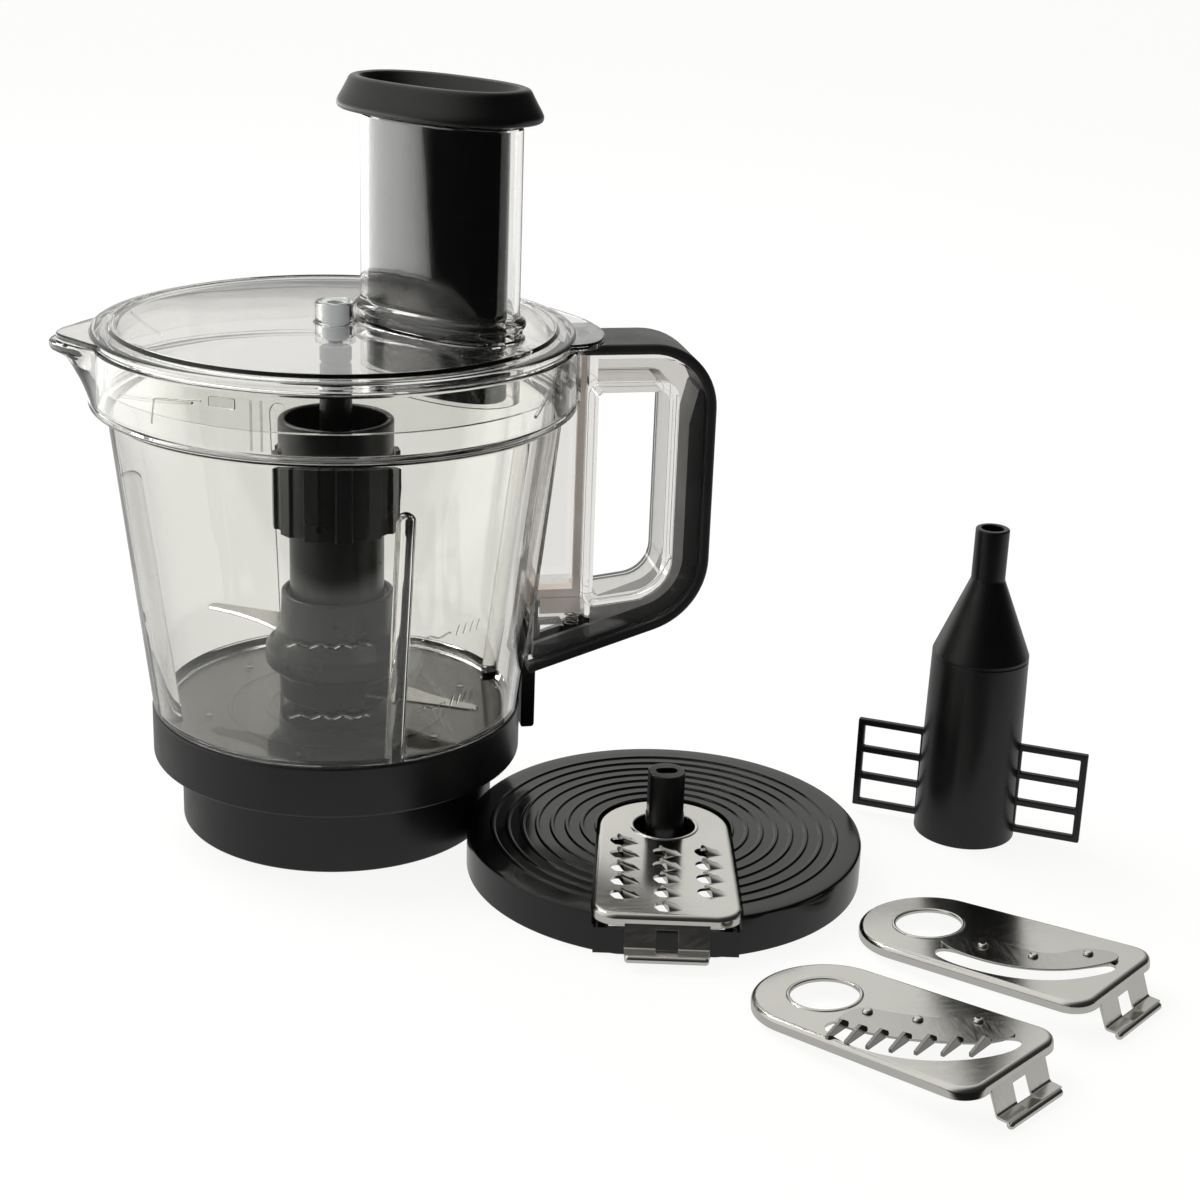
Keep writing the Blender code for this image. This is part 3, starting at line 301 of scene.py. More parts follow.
def milky():
    """Translucent acetal: light spreads through it."""
    shader = Shader("bush_milky", (0.86, 0.9, 0.9), 0.35, Transmission_Weight=0.25, Subsurface_Weight=0.5)
    shader.surface.inputs["Subsurface Radius"].default_value = (0.004, 0.004, 0.004)
    shader.sheen(shader.noise(200), 0.28, 0.42)
    return shader.bump(shader.noise(900), 0.00002)


def natural():
    shader = Shader("rod_natural", (0.78, 0.7, 0.64), 0.42)
    shader.tint(shader.noise(50), (0.72, 0.62, 0.56), (0.82, 0.75, 0.7))
    shader.sheen(shader.noise(200), 0.36, 0.5)
    return shader.bump(shader.noise(1400), 0.00002)


BRONZE, RUBBER, MILKY, NATURAL = bronze(), rubber(), milky(), natural()

# ---------------------------------------------------------------- shapes


def linked(name, data):
    obj = bpy.data.objects.new(name, data)
    bpy.context.scene.collection.objects.link(obj)
    return obj


def piece_of(name, mesh, shape):
    """An object from an edited shape."""
    shape.to_mesh(mesh)
    shape.free()
    return linked(name, mesh)


def made(name, verts, faces):
    mesh = bpy.data.meshes.new(name)
    mesh.from_pydata(verts, [], faces)
    shape = bmesh.new()
    shape.from_mesh(mesh)
    bmesh.ops.remove_doubles(shape, verts=shape.verts, dist=1e-7)
    bmesh.ops.recalc_face_normals(shape, faces=shape.faces)
    return piece_of(name, mesh, shape)


def polar(radius, degrees):
    return radius * math.cos(math.radians(degrees)), radius * math.sin(math.radians(degrees))


def rounded(corners, steps=5):
    """The closed outline through (x, y, radius) corners, with an arc of that radius at each."""
    points = []
    for i, (x, y, radius) in enumerate(corners):
        here = Vector((x, y))
        if radius == 0:
            points.append((x, y))
            continue
        before = (Vector(corners[i - 1][:2]) - here).normalized()
        after = (Vector(corners[(i + 1) % len(corners)][:2]) - here).normalized()
        half = before.angle(after) / 2
        middle = here + (before + after).normalized() * (radius / math.sin(half))
        start = here + before * (radius / math.tan(half)) - middle
        end = here + after * (radius / math.tan(half)) - middle
        sweep = start.angle_signed(end)
        for step in range(steps + 1):
            spoke = start.copy()
            spoke.rotate(Matrix.Rotation(-sweep * step / steps, 2))
            points.append(tuple(middle + spoke))
    return points


def loft(name, rings, closed=False):
    """A mesh through rings of equal length, capped at both ends, or joined last to first."""
    count = len(rings[0])
    verts = [point for ring in rings for point in ring]
    faces = []
    pairs = len(rings) if closed else len(rings) - 1
    for k in range(pairs):
        low, high = k * count, (k + 1) % len(rings) * count
        for i in range(count):
            j = (i + 1) % count
            faces.append((low + i, low + j, high + j, high + i))
    if not closed:
        faces.append(tuple(range(count)))
        faces.append(tuple(range(len(verts) - count, len(verts))))
    return made(name, verts, faces)


def lathe(name, corners, segments=SEGMENTS, steps=4):
    """A closed (radius, height, fillet) profile turned about Z. Points on the axis stay single."""
    verts, rings = [], []
    for radius, height in rounded(corners, steps):
        if radius < 1e-7:
            rings.append([len(verts)] * segments)
            verts.append((0, 0, height))
            continue
        rings.append(list(range(len(verts), len(verts) + segments)))
        verts += [(*polar(radius, 360 * i / segments), height) for i in range(segments)]
    faces = []
    for low, high in zip(rings, rings[1:] + rings[:1]):
        for i in range(segments):
            j = (i + 1) % segments
            corners_of_face = list(dict.fromkeys((low[i], low[j], high[j], high[i])))
            if len(corners_of_face) > 2:
                faces.append(corners_of_face)
    return made(name, verts, faces)


def flat(name, loops, low, high):
    """A plate between two heights with the outline loops[0], and the other loops as holes in it."""
    curve = bpy.data.curves.new(name, "CURVE")
    curve.dimensions = "2D"
    curve.fill_mode = "BOTH"
    curve.extrude = (high - low) / 2
    for loop in loops:
        spline = curve.splines.new("POLY")
        spline.points.add(len(loop) - 1)
        for point, (x, y) in zip(spline.points, loop):
            point.co = (x, y, 0, 1)
        spline.use_cyclic_u = True
    holder = linked(name, curve)
    graph = bpy.context.evaluated_depsgraph_get()
    mesh = bpy.data.meshes.new_from_object(holder.evaluated_get(graph))
    bpy.data.objects.remove(holder, do_unlink=True)
    bpy.data.curves.remove(curve)
    shape = bmesh.new()
    shape.from_mesh(mesh)
    bmesh.ops.remove_doubles(shape, verts=shape.verts, dist=1e-6)
    bmesh.ops.translate(shape, verts=shape.verts, vec=(0, 0, (low + high) / 2))
    bmesh.ops.dissolve_limit(shape, angle_limit=math.radians(0.5), verts=shape.verts, edges=shape.edges)
    bmesh.ops.recalc_face_normals(shape, faces=shape.faces)
    mesh.materials.clear()
    return piece_of(name, mesh, shape)


def upright(obj):
    """Turns an outline's y up to z."""
    obj.data.transform(Matrix.Rotation(math.radians(90), 4, "X"))
    return obj


def boxes(name, *corners):
    """Boxes, each between its lowest and its highest corner."""
    shape = bmesh.new()
    for low, high in corners:
        low, high = Vector(low), Vector(high)
        size = Matrix.Diagonal((*(high - low), 1))
        bmesh.ops.create_cube(shape, size=1, matrix=Matrix.Translation((low + high) / 2) @ size)
    return piece_of(name, bpy.data.meshes.new(name), shape)


def slab(name, side, half, steps=5):
    """A plate that stands in the frame's XZ plane, from a list of (x, z, fillet) corners."""
    return upright(flat(name, [rounded(side, steps)], -half, half))


def rod(name, start, end, radius, segments=32, domes=True):
    """A round bar between two points, with domed or flat ends."""
    along = Vector(end) - Vector(start)
    turn = along.to_track_quat("Z", "Y").to_matrix().to_4x4()
    steps = 7
    profile = [polar(radius, 90 * k / steps - 90) for k in range(1, steps)] if domes else []
    profile.append((radius, 0))
    profile += [(r, along.length - z) for r, z in reversed(profile)]
    rings = [[(*polar(r, 360 * i / segments), z) for i in range(segments)] for r, z in profile]
    obj = loft(name, rings)
    obj.data.transform(Matrix.Translation(Vector(start)) @ turn)
    return obj


def settle(obj):
    """Applies the modifiers."""
    graph = bpy.context.evaluated_depsgraph_get()
    mesh = bpy.data.meshes.new_from_object(obj.evaluated_get(graph))
    obj.modifiers.clear()
    obj.data = mesh
    mesh.name = obj.name
    return obj


def boolean(obj, others, operation):
    """Cuts, joins or trims a piece with others, which are used up."""
    for other in others:
        step = obj.modifiers.new(operation.lower(), "BOOLEAN")
        step.operation = operation
        step.solver = "EXACT"
        step.object = other
    settle(obj)
    for other in others:
        bpy.data.objects.remove(other, do_unlink=True)
    return obj


def cut(obj, *others):
    return boolean(obj, others, "DIFFERENCE")


def join(obj, *others):
    return boolean(obj, others, "UNION")


def gather(obj, *others):
    """Adds other meshes to an opaque piece without cutting them to it."""
    shape = bmesh.new()
    for item in (obj, *others):
        shape.from_mesh(item.data)
    shape.to_mesh(obj.data)
    shape.free()
    for other in others:
        bpy.data.objects.remove(other, do_unlink=True)
    return obj


def soften(obj, width, segments=3, angle=40):
    """Rounds the edges sharper than an angle."""
    step = obj.modifiers.new("soften", "BEVEL")
    step.width = width
    step.segments = segments
    step.limit_method = "ANGLE"
    step.angle_limit = math.radians(angle)
    step.use_clamp_overlap = True
    return settle(obj)


def oval(half_length, half_width, height, count=112):
    """A rounded oval, long in x, at a height."""
    points = []
    for i in range(count):
        angle = 2 * math.pi * i / count
        c, s = math.cos(angle), math.sin(angle)
        x = half_length * math.copysign(abs(c) ** (2 / OVAL_POWER), c)
        y = half_width * math.copysign(abs(s) ** (2 / OVAL_POWER), s)
        points.append((x, y, height))
    return points


def ovals(name, sections):
    return loft(name, [oval(*section) for section in sections])


def arc_bar(name, radii, turns, heights, steps=14):
    """A bar that follows a circle: heights holds (low, high) at its start and at its end."""
    start, end = Vector((turns[0], *heights[0])), Vector((turns[1], *heights[1]))
    rings = []
    for k in range(steps + 1):
        turn, low, high = start.lerp(end, k / steps)
        inner, outer = (polar(radius, turn) for radius in radii)
        rings.append([(*inner, low), (*outer, low), (*outer, high), (*inner, high)])
    return loft(name, rings)


def wire(name, points, radius, segments=8):
    """A thin round bead through points, as a mesh."""
    section = [Vector((*polar(radius, 360 * k / segments), 0)) for k in range(segments)]
    rings = []
    for i, point in enumerate(points):
        before, after = points[max(i - 1, 0)], points[min(i + 1, len(points) - 1)]
        turn = (Vector(after) - Vector(before)).to_track_quat("Z", "Y").to_matrix()
        rings.append([tuple(Vector(point) + turn @ spoke) for spoke in section])
    return loft(name, rings)


def wall_radius(height):
    """The outer radius of the bowl's tapered wall."""
    share = (height - WALL_FOOT_Z) / (WALL_HEAD_Z - WALL_FOOT_Z)
    return WALL_FOOT_R + share * (WALL_HEAD_R - WALL_FOOT_R)


def put(obj, place, body, surface, slot, *nodes, angle=32):
    """Shades a piece, puts it in its place, ties it to its body, and hides the nodes it stands for."""
    mesh = obj.data
    mesh.shade_smooth()
    mesh.set_sharp_from_angle(angle=math.radians(angle))
    mesh.materials.clear()
    mesh.materials.append(surface)
    step = obj.modifiers.new("normals", "WEIGHTED_NORMAL")
    step.keep_sharp = True
    mesh.transform(place)
    # Light goes on through the clear pieces to what they hold.
    if surface in (CLEAR, LIT_CLEAR_LID, CLEAR_WEB):
        obj.visible_shadow = obj.visible_diffuse = False
    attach(obj, body)
    if nodes:
        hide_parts(*nodes)
    return obj


# ---------------------------------------------------------------- base and bowl


def screw_holes(low, high):
    places = (polar(SCREW_RING_R, SCREW_TURN + 360 / SCREWS * i) for i in range(SCREWS))
    return [rod("hole", (x, y, low), (x, y, high), SCREW_HOLE_R, 20, domes=False) for x, y in places]


def base_collar():
    inside = BAND_R - WALL
    profile = [
        (inside, BAND_TOP, 0.0006),
        (BAND_R, BAND_TOP, 0.001),
        (BAND_R, STEP_Z, 0.0012),
        (SKIRT_R, STEP_Z, 0.0004),
        (SKIRT_R, 0, 0.0012),
        (SKIRT_R - WALL, 0, 0.0008),
        (SKIRT_R - WALL, STEP_Z + WALL, 0.001),
        (inside, STEP_Z + WALL, 0.001),
        (inside, WEB_LOW, 0.0006),
        (BOSS_R, WEB_LOW, 0.001),
        (BOSS_R, BOSS_LOW, 0.0005),
        (BUSH_R + 0.0003, BOSS_LOW, 0.0003),
        (BUSH_R + 0.0003, WEB_TOP, 0),
    ]
    for middle, half, rise in ((0.0303, 0.0009, 0.001), (0.047, 0.0006, 0.0008)):
        profile += [(middle - half - 0.0004, WEB_TOP, 0), (middle - half, WEB_TOP + rise, 0.0003)]
        profile += [(middle + half, WEB_TOP + rise, 0.0003), (middle + half + 0.0004, WEB_TOP, 0)]
    profile.append((inside, WEB_TOP, 0))
    collar = lathe("base_collar_moulded", profile)
    cut(collar, *screw_holes(WEB_LOW - 0.004, WEB_TOP + 0.001))
    keys = []
    for turn in (-152, -33, 28, 147):
        low, high = (SKIRT_R - 0.001, -0.0045, STEP_Z - 0.0052), (SKIRT_R + 0.0014, 0.0045, STEP_Z)
        key = soften(boxes("key", (low, high)), 0.0004, 2)
        key.data.transform(frame_at(0, 0, 0, turn))
        keys.append(key)
    gather(collar, *keys)
    put(collar, AXIS, "root", BASE, "satin_black_plastic", "base_collar")


def beak(inset, root, heights):
    """The spout between heights, each (z, reach beyond the collar): a rounded V from above."""
    rings = []
    half, count = SPOUT_HALF - inset, 24
    for height, reach in heights:
        ring = []
        for k in range(count + 1):
            side = -1 + 2 * k / count
            y = side * half
            on_collar = math.sqrt((COLLAR_R - inset) ** 2 - y * y)
            lip = reach * (1 - abs(side) ** 1.7) ** 1.35
            ring.append((-(on_collar + max(lip, 0)), y, height))
        rings.append(ring + [(-root, half, height), (-root, -half, height)])
    spout = loft("beak", rings)
    spout.data.transform(frame_at(0, 0, 0, HANDLE_TURN))
    return spout


def bowl():
    foot = BAND_R - WALL - 0.0006
    inner_foot, inner_head = WALL_FOOT_R - WALL, WALL_HEAD_R - WALL
    collar_inner = COLLAR_R - WALL
    profile = [
        (collar_inner, COLLAR_TOP, 0.0008),
        (COLLAR_R, COLLAR_TOP, 0.001),
        (COLLAR_R, COLLAR_LOW + 0.0034, 0.0004),
        (COLLAR_R + 0.0005, COLLAR_LOW + 0.0026, 0.0004),
        (COLLAR_R + 0.0005, COLLAR_LOW + 0.0002, 0.0008),
        (WALL_HEAD_R + 0.0006, COLLAR_LOW - 0.0004, 0.0012),
        (WALL_HEAD_R, WALL_HEAD_Z, 0),
        (WALL_FOOT_R, WALL_FOOT_Z, 0.0006),
        (foot, WALL_FOOT_Z, 0),
        (foot, FLOOR_LOW, 0.001),
        (POST_BORE, FLOOR_LOW, 0),
        (POST_BORE, POST_TOP, 0.0006),
        (POST_R, POST_TOP, 0.0008),
        (POST_R, FLOOR_TOP, 0.002),
        (inner_foot - 0.001, FLOOR_TOP, 0.006),
        (inner_head, WALL_HEAD_Z, 0.004),
        (collar_inner, COLLAR_LOW + 0.0026, 0.001),
    ]
    shell = lathe("bowl_moulded", profile, steps=5)
    spout_outer = beak(0, 0.0962, SPOUT_FORM)
    spout_inner = beak(0.0018, 0.09, SPOUT_HOLLOW)
    join(shell, spout_outer)
    cut(shell, spout_inner)
    join(shell, *(rib(foot, RIB_TURN + 90 * i) for i in range(4)))
    cut(shell, *screw_holes(FLOOR_LOW - 0.001, FLOOR_LOW + 0.0014))
    put(shell, AXIS, "root", CLEAR, "clear_polycarbonate", "bowl")


def rib(foot, turn):
    """A round-headed rib that leans with the wall, from the floor up."""
    head = RIB_TOP - RIB_R
    ends = [(*polar(foot - RIB_R - 0.0003, turn), FLOOR_TOP - 0.001)]
    ends.append((*polar(wall_radius(head) - WALL - 0.0026, turn), head))
    bar = rod("rib", ends[0], ends[1], RIB_R, 28)
    return cut(bar, boxes("trim", ((-0.12, -0.12, 0.0), (0.12, 0.12, FLOOR_TOP - 0.0012))))


SPOUT_REACH = SPOUT_R - COLLAR_R
SPOUT_FORM = [
    (COLLAR_LOW + 0.003, 0.0),
    (COLLAR_LOW + 0.006, 0.0012),
    (COLLAR_LOW + 0.011, 0.0034),
    (COLLAR_LOW + 0.016, 0.0062),
    (COLLAR_LOW + 0.0205, 0.0088),
    (COLLAR_LOW + 0.0232, SPOUT_REACH - 0.0006),
    (COLLAR_LOW + 0.0245, SPOUT_REACH),
    (COLLAR_TOP - 0.0006, SPOUT_REACH),
    (COLLAR_TOP, SPOUT_REACH - 0.0006),
]
SPOUT_HOLLOW = [(z + 0.0022, max(reach - 0.0008, 0)) for z, reach in SPOUT_FORM]


def bowl_marks():
    """Two wavy level marks with a few plain ticks, and the bayonet's ramps."""
    beads = []
    for level in LEVELS:
        for first, last in ((-104, -81), (-67, -58)):
            points = []
            for k in range(61):
                turn = first + (last - first) * k / 60
                height = level + 0.0007 * math.sin(math.radians(turn) * 60)
                radius = wall_radius(height) + 0.0001
                points.append((*polar(radius, turn), height))
            beads.append(wire("bead", points, 0.0004, 6))
        for k in range(4):
            turn = -56 + 2.4 * k
            low, high = level - 0.0012, level + 0.003
            ends = [(*polar(wall_radius(z) + 0.0001, turn + 0.8 * (z > level)), z) for z in (low, high)]
            beads.append(wire("tick", ends, 0.00042, 6))
    radius = COLLAR_R + 0.0001
    for turn in (-108.3, -106.0, 71.7, 74.0):
        beads.append(wire("line", [(*polar(radius, turn), z) for z in (0.1925, 0.201, 0.212)], 0.00045))
    for first in (-133, 47):
        line = [(*polar(radius, first - 1), 0.1965), (*polar(radius, first), 0.2065)]
        line += [(*polar(radius, first + k), 0.2068 + 0.0002 * k) for k in range(1, 14)]
        beads.append(wire("line", line, 0.0004))
    marks = gather(*beads)
    marks.name = "level_marks"
    put(marks, AXIS, "root", CLEAR, "clear_polycarbonate")
    radii = (COLLAR_R - WALL - 0.0009, COLLAR_R - WALL + 0.0004)
    gentle, steep = ((0.202, 0.203), (0.207, 0.208)), ((0.196, 0.1972), (0.212, 0.2132))
    ramps = (((-147, -123), gentle), ((-38, -26), steep), ((33, 57), gentle), ((142, 154), steep))
    bayonet = gather(*(arc_bar("ramp", radii, turns, heights) for turns, heights in ramps))
    bayonet.name = "bowl_bayonet_ramps"
    put(bayonet, AXIS, "root", CLEAR, "clear_polycarbonate")


# ---------------------------------------------------------------- lid and pusher


def lid():
    boss, bush = 0.0085, 0.0059
    skirt = COLLAR_R - WALL - 0.0011
    profile = [
        (LID_RING_R - 0.0006, LID_HIGH, 0.0003),
        (LID_RING_R - 0.0004, LID_HIGH + 0.0006, 0.0003),
        (LID_RING_R + 0.0005, LID_HIGH + 0.0006, 0.0004),
        (LID_RING_R + 0.0014, LID_HIGH - 0.001, 0.0006),
        (LID_RIM_R, LID_HIGH - 0.0014, 0.0016),
        (LID_RIM_R, COLLAR_TOP + 0.0004, 0.0014),
        (skirt, COLLAR_TOP + 0.0004, 0),
        (skirt, 0.199, 0.0006),
        (skirt - 0.0018, 0.199, 0.0006),
        (skirt - 0.0018, LID_LOW - 0.001, 0.0012),
        (LID_RING_R - 0.002, LID_LOW - 0.001, 0),
        (LID_RING_R - 0.004, LID_LOW, 0),
        (boss, LID_LOW, 0.0006),
        (boss, 0.2125, 0.0005),
        (bush, 0.2125, 0.0003),
        (bush, 0.2292, 0.0004),
        (boss, 0.2292, 0.0007),
        (boss, LID_HIGH, 0.001),
    ]
    top = lathe("lid_moulded", profile)
    low = COLLAR_TOP + 0.0004
    tab = flat("tab", [tab_outline()], low, low + 0.003)
    soften(tab, 0.0009, 3, 50)
    cover = flat("cover", [spout_cover_outline()], low, low + 0.0024)
    soften(cover, 0.0007, 3, 50)
    chute = ovals("chute", chute_sections())
    inner = (CHUTE_A - WALL + 0.0002, CHUTE_B - WALL + 0.0002)
    hollow = ovals("hollow", [(*inner, 0.19), (*inner, 0.31)])
    for piece in (chute, hollow):
        piece.matrix_world = frame_at(*CHUTE_AT, 0, CHUTE_TURN)
    bpy.context.view_layer.update()
    join(top, tab, cover, chute)
    cut(top, hollow)
    put(top, AXIS, "lid", LIT_CLEAR_LID, "clear_polycarbonate", "lid")
    lugs = []
    for turn in (-119, 61):
        radii, heights = (skirt - 0.0006, skirt + 0.0006), [(0.207, 0.2112)] * 2
        lugs.append(soften(arc_bar("lug", radii, (turn, turn + 6.5), heights, 6), 0.0004, 2))
    lugs = gather(*lugs)
    lugs.name = "lid_bayonet_lugs"
    put(lugs, AXIS, "lid", LIT_CLEAR_LID, "clear_polycarbonate")


def smooth_loop(corners, rounds=3):
    """A closed outline smoothed by cutting its corners."""
    points = [Vector(corner) for corner in corners]
    for _ in range(rounds):
        cut_points = []
        for here, after in zip(points, points[1:] + points[:1]):
            cut_points += [here * 0.75 + after * 0.25, here * 0.25 + after * 0.75]
        points = cut_points
    return [tuple(point) for point in points]


def tab_outline():
    """The finger tab over the handle, from inside the rim out to a blunt lobe."""
    corners = [(-18, 0.095), (-18, 0.101), (-14, 0.1096), (-8, 0.1124), (0, 0.1124)]
    corners += [(10, 0.1086), (20, 0.1035), (29, 0.1), (29, 0.095)]
    return smooth_loop([polar(radius, turn) for turn, radius in corners])


def spout_cover_outline():
    corners = [(-18, 0.095), (-15, 0.101), (-8, 0.1065), (-2, 0.1132)]
    corners += [(2, 0.1132), (8, 0.1065), (15, 0.101), (18, 0.095)]
    return smooth_loop([polar(radius, 180 + HANDLE_TURN + turn) for turn, radius in corners])


def chute_sections():
    """The feed chute's outer form, with a bead round its foot on the lid."""
    form = [(0, CHUTE_LOW), (0, LID_LOW - 0.001), (0.0024, LID_LOW + 0.0004)]
    form += [(0.0024, LID_HIGH + 0.0004)]
    form += [(0.0014, 0.2216), (0.0012, 0.2244), (0.0022, 0.2252), (0.0026, 0.2262), (0.0026, 0.2274)]
    form += [(0.0021, 0.2284), (0.0012, 0.229), (0.0004, 0.2296), (0, 0.231)]
    form += [(0, CHUTE_TOP - 0.0008), (-0.0004, CHUTE_TOP - 0.0002), (-0.001, CHUTE_TOP)]
    return [(CHUTE_A + extra, CHUTE_B + extra, height) for extra, height in form]


def lid_bush():
    profile = [
        (PIN_R + 0.0003, 0.2286, 0.0003),
        (0.0056, 0.2286, 0.0006),
        (0.0056, 0.212, 0.0004),
        (0.0048, 0.2105, 0.0004),
        (PIN_R + 0.0003, 0.2105, 0.0003),
    ]
    bush = lathe("lid_bush_moulded", profile, FEW_SEGMENTS)
    put(bush, AXIS, "lid_bush", MILKY, "milky_plastic", "lid_bush")


def pusher():
    body = (CHUTE_A - WALL - PUSHER_PLAY, CHUTE_B - WALL - PUSHER_PLAY)
    outside = [(-0.0016, CHUTE_LOW + 0.0006), (-0.0006, CHUTE_LOW + 0.0009), (0, CHUTE_LOW + 0.0018)]
    outside += [(0, FLANGE_LOW + 0.0012)]
    sections = [(body[0] + extra, body[1] + extra, z) for extra, z in outside]
    lip = [(0.006, 0.0), (0.0072, 0.0001), (0.0081, 0.0007), (0.0085, 0.0016), (0.0085, 0.0027)]
    lip += [(0.0081, 0.0038), (0.0075, 0.005), (0.0062, 0.0073), (0.005, 0.0096), (0.0042, 0.0112)]
    lip += [(0.0037, 0.0122), (0.003, 0.0129), (0.002, 0.0133), (0.0008, 0.0133), (-0.0004, 0.0129)]
    lip += [(-0.0012, 0.0119)]
    sections += [(CHUTE_A + extra, CHUTE_B + extra, FLANGE_LOW + rise) for extra, rise in lip]
    inside = [(0.0004, FLANGE_TOP - 0.006), (-0.0022, FLANGE_TOP - 0.012), (-0.0026, CHUTE_LOW + 0.0056)]
    inside += [(-0.004, CHUTE_LOW + 0.004), (-0.006, CHUTE_LOW + 0.0036)]
    sections += [(body[0] + extra, body[1] + extra, z) for extra, z in inside]
    whole = ovals("pusher_moulded", sections)
    put(whole, PUSHER, "pusher", GLOSS, "gloss_black_plastic", "pusher")
    whole.data.materials.append(FLANGE)
    for face in whole.data.polygons:
        if face.center.z > FLANGE_LOW - 0.0002:
            face.material_index = 1


# ---------------------------------------------------------------- handle


def grip_path(inset):
    """The handle's bent edge from its top end round to its low end, moved in by inset."""
    right = GRIP_R - inset
    low_z = ARM_LOW_Z + inset * math.hypot(1, ARM_SLOPE)
    corner_z = low_z + ARM_SLOPE * (right - ARM_LOW_R)
    return GRIP_TOP - inset, right, corner_z, low_z


def arm_end(height, gap):
    """Where the handle's low arm meets the bowl's wall, at a height above the arm's own low end."""
    reach = wall_radius(ARM_LOW_Z + height) + gap
    return reach, ARM_LOW_Z + height + ARM_SLOPE * (reach - ARM_LOW_R)


def handle_grip():
    top, right, corner, low = grip_path(0)
    top_in, right_in, corner_in, low_in = grip_path(GRIP_FACE)
    left_top = COLLAR_R + 0.0008
    corners = [
        (left_top, top, 0),
        (right, top, TOP_CORNER),
        (right, corner, LOW_CORNER),
        (*arm_end(low - ARM_LOW_Z, 0.001), 0),
        (*arm_end(low_in - ARM_LOW_Z, 0.001), 0),
        (right_in, corner_in, LOW_CORNER - GRIP_FACE),
        (right_in, top_in, TOP_CORNER - GRIP_FACE),
        (left_top, top_in, 0),
    ]
    grip = slab("handle_grip_moulded", corners, GRIP_WIDTH / 2, 14)
    window = boxes("window", ((0.1, -0.0052, 0.2), (ROD[1] + 0.001, 0.0052, 0.22)))
    cut(grip, window, boxes("slot", ((0.075, -0.0052, 0.05), (ARM_LOW_R + 0.0004, 0.0052, 0.085))))
    soften(grip, 0.0019, 5, 45)
    put(grip, HANDLE, "root", GRIP, "soft_touch_black", "handle_grip", angle=50)


def grip_core():
    """The grip's grey inside, which shows through the clear frame's skin."""
    thick = 0.0066
    right, corner, low = grip_path(GRIP_FACE - 0.0004)[1:]
    right_in, corner_in, low_in = grip_path(GRIP_FACE - 0.0004 + thick)[1:]
    left, depth = OPENING[0][0] + 0.001, WEB_WIDTH / 2 - WEB_SKIN - 0.0004
    rise = ARM_SLOPE * (left - ARM_LOW_R)
    core = [
        (right, 0.193, 0),
        (right, corner, LOW_CORNER - GRIP_FACE),
        (left, low + rise, 0),
        (left, low_in + rise, 0),
        (right_in, corner_in, LOW_CORNER - GRIP_FACE + 0.0004 - thick),
        (right_in, 0.176, 0),
        (right - 0.003, 0.191, 0),
    ]
    core = slab("handle_grip_core", core, depth, 12)
    arm = [arm_end(low - ARM_LOW_Z, 0.003), (left + 0.0004, low + rise), (left + 0.0004, low_in + rise)]
    arm.append(arm_end(low_in - ARM_LOW_Z, 0.003))
    gather(core, *(upright(flat("arm", [arm], *side)) for side in ((-depth, -0.0056), (0.0056, depth))))
    put(core, HANDLE, "root", GRIP_CORE, "soft_touch_black")


def opening_loop(grow=0.0):
    (x_low, z_low), (x_high, z_high) = OPENING
    corners = [
        (x_low - grow, z_high + grow, 0.003 + grow * 0.6),
        (x_high + grow, z_high + grow, 0.004 + grow * 0.8),
        (x_high + grow, z_low + 0.004 - grow, 0.014 + grow),
        (x_low - grow, z_low - grow * 1.1, 0.003 + grow * 0.6),
    ]
    return rounded(corners, steps=8)


def handle_web():
    """A hollow clear frame inside the grip, open towards the grip, with a raised bead by the opening."""
    inset = GRIP_FACE + 0.0003
    top, right, corner, low = grip_path(inset)
    left = COLLAR_R + 0.001
    outline = rounded(
        [
            (left, top, 0),
            (right, top, TOP_CORNER - inset),
            (right, corner, LOW_CORNER - inset),
            (*arm_end(low + 0.0003 - ARM_LOW_Z, 0.0007), 0),
            (wall_radius(0.186) + 0.0007, 0.186, 0),
            (left, 0.1872, 0),
        ],
        steps=10,
    )
    half = WEB_WIDTH / 2
    web = upright(flat("handle_web_moulded", [outline, opening_loop()], -half, half))
    (x_low, z_low), (x_high, z_high) = OPENING
    near = x_low - 0.0006
    arm_at_near = low + ARM_SLOPE * (near - ARM_LOW_R)
    room_round_opening = [
        (near, top - WEB_SKIN, 0),
        (right + 0.002, top - WEB_SKIN, TOP_CORNER - inset),
        (right + 0.002, corner - 0.004, LOW_CORNER - inset),
        (near, arm_at_near - 0.004, 0),
        (near, z_low - WEB_SKIN, 0),
        (x_high + WEB_SKIN, z_low + 0.004 - WEB_SKIN, 0.016),
        (x_high + WEB_SKIN, z_high + WEB_SKIN, 0.006),
        (near, z_high + WEB_SKIN, 0),
    ]
    cut(web, slab("room", room_round_opening, half - WEB_SKIN, 8))
    channels = [
        ((ROD[0] - 0.0007, -0.005, 0.095), (ROD[1] + 0.0007, 0.005, 0.21)),
        ((0.08, -0.005, 0.085), (ROD[1] + 0.0004, 0.005, 0.1062)),
        ((0.0989, -0.005, 0.07), (0.1081, 0.005, 0.0985)),
        ((0.075, -0.005, 0.06), (ARM_LOW_R + 0.0004, 0.005, 0.086)),
    ]
    cut(web, *(boxes("channel", ends) for ends in channels))
    proud = half + 0.0007
    bead = upright(flat("bead", [opening_loop(0.0046), opening_loop(0.0016)], -proud, proud))
    join(web, soften(bead, 0.0006, 3, 50))
    put(web, HANDLE, "root", CLEAR_WEB, "clear_polycarbonate", "handle_web", angle=40)


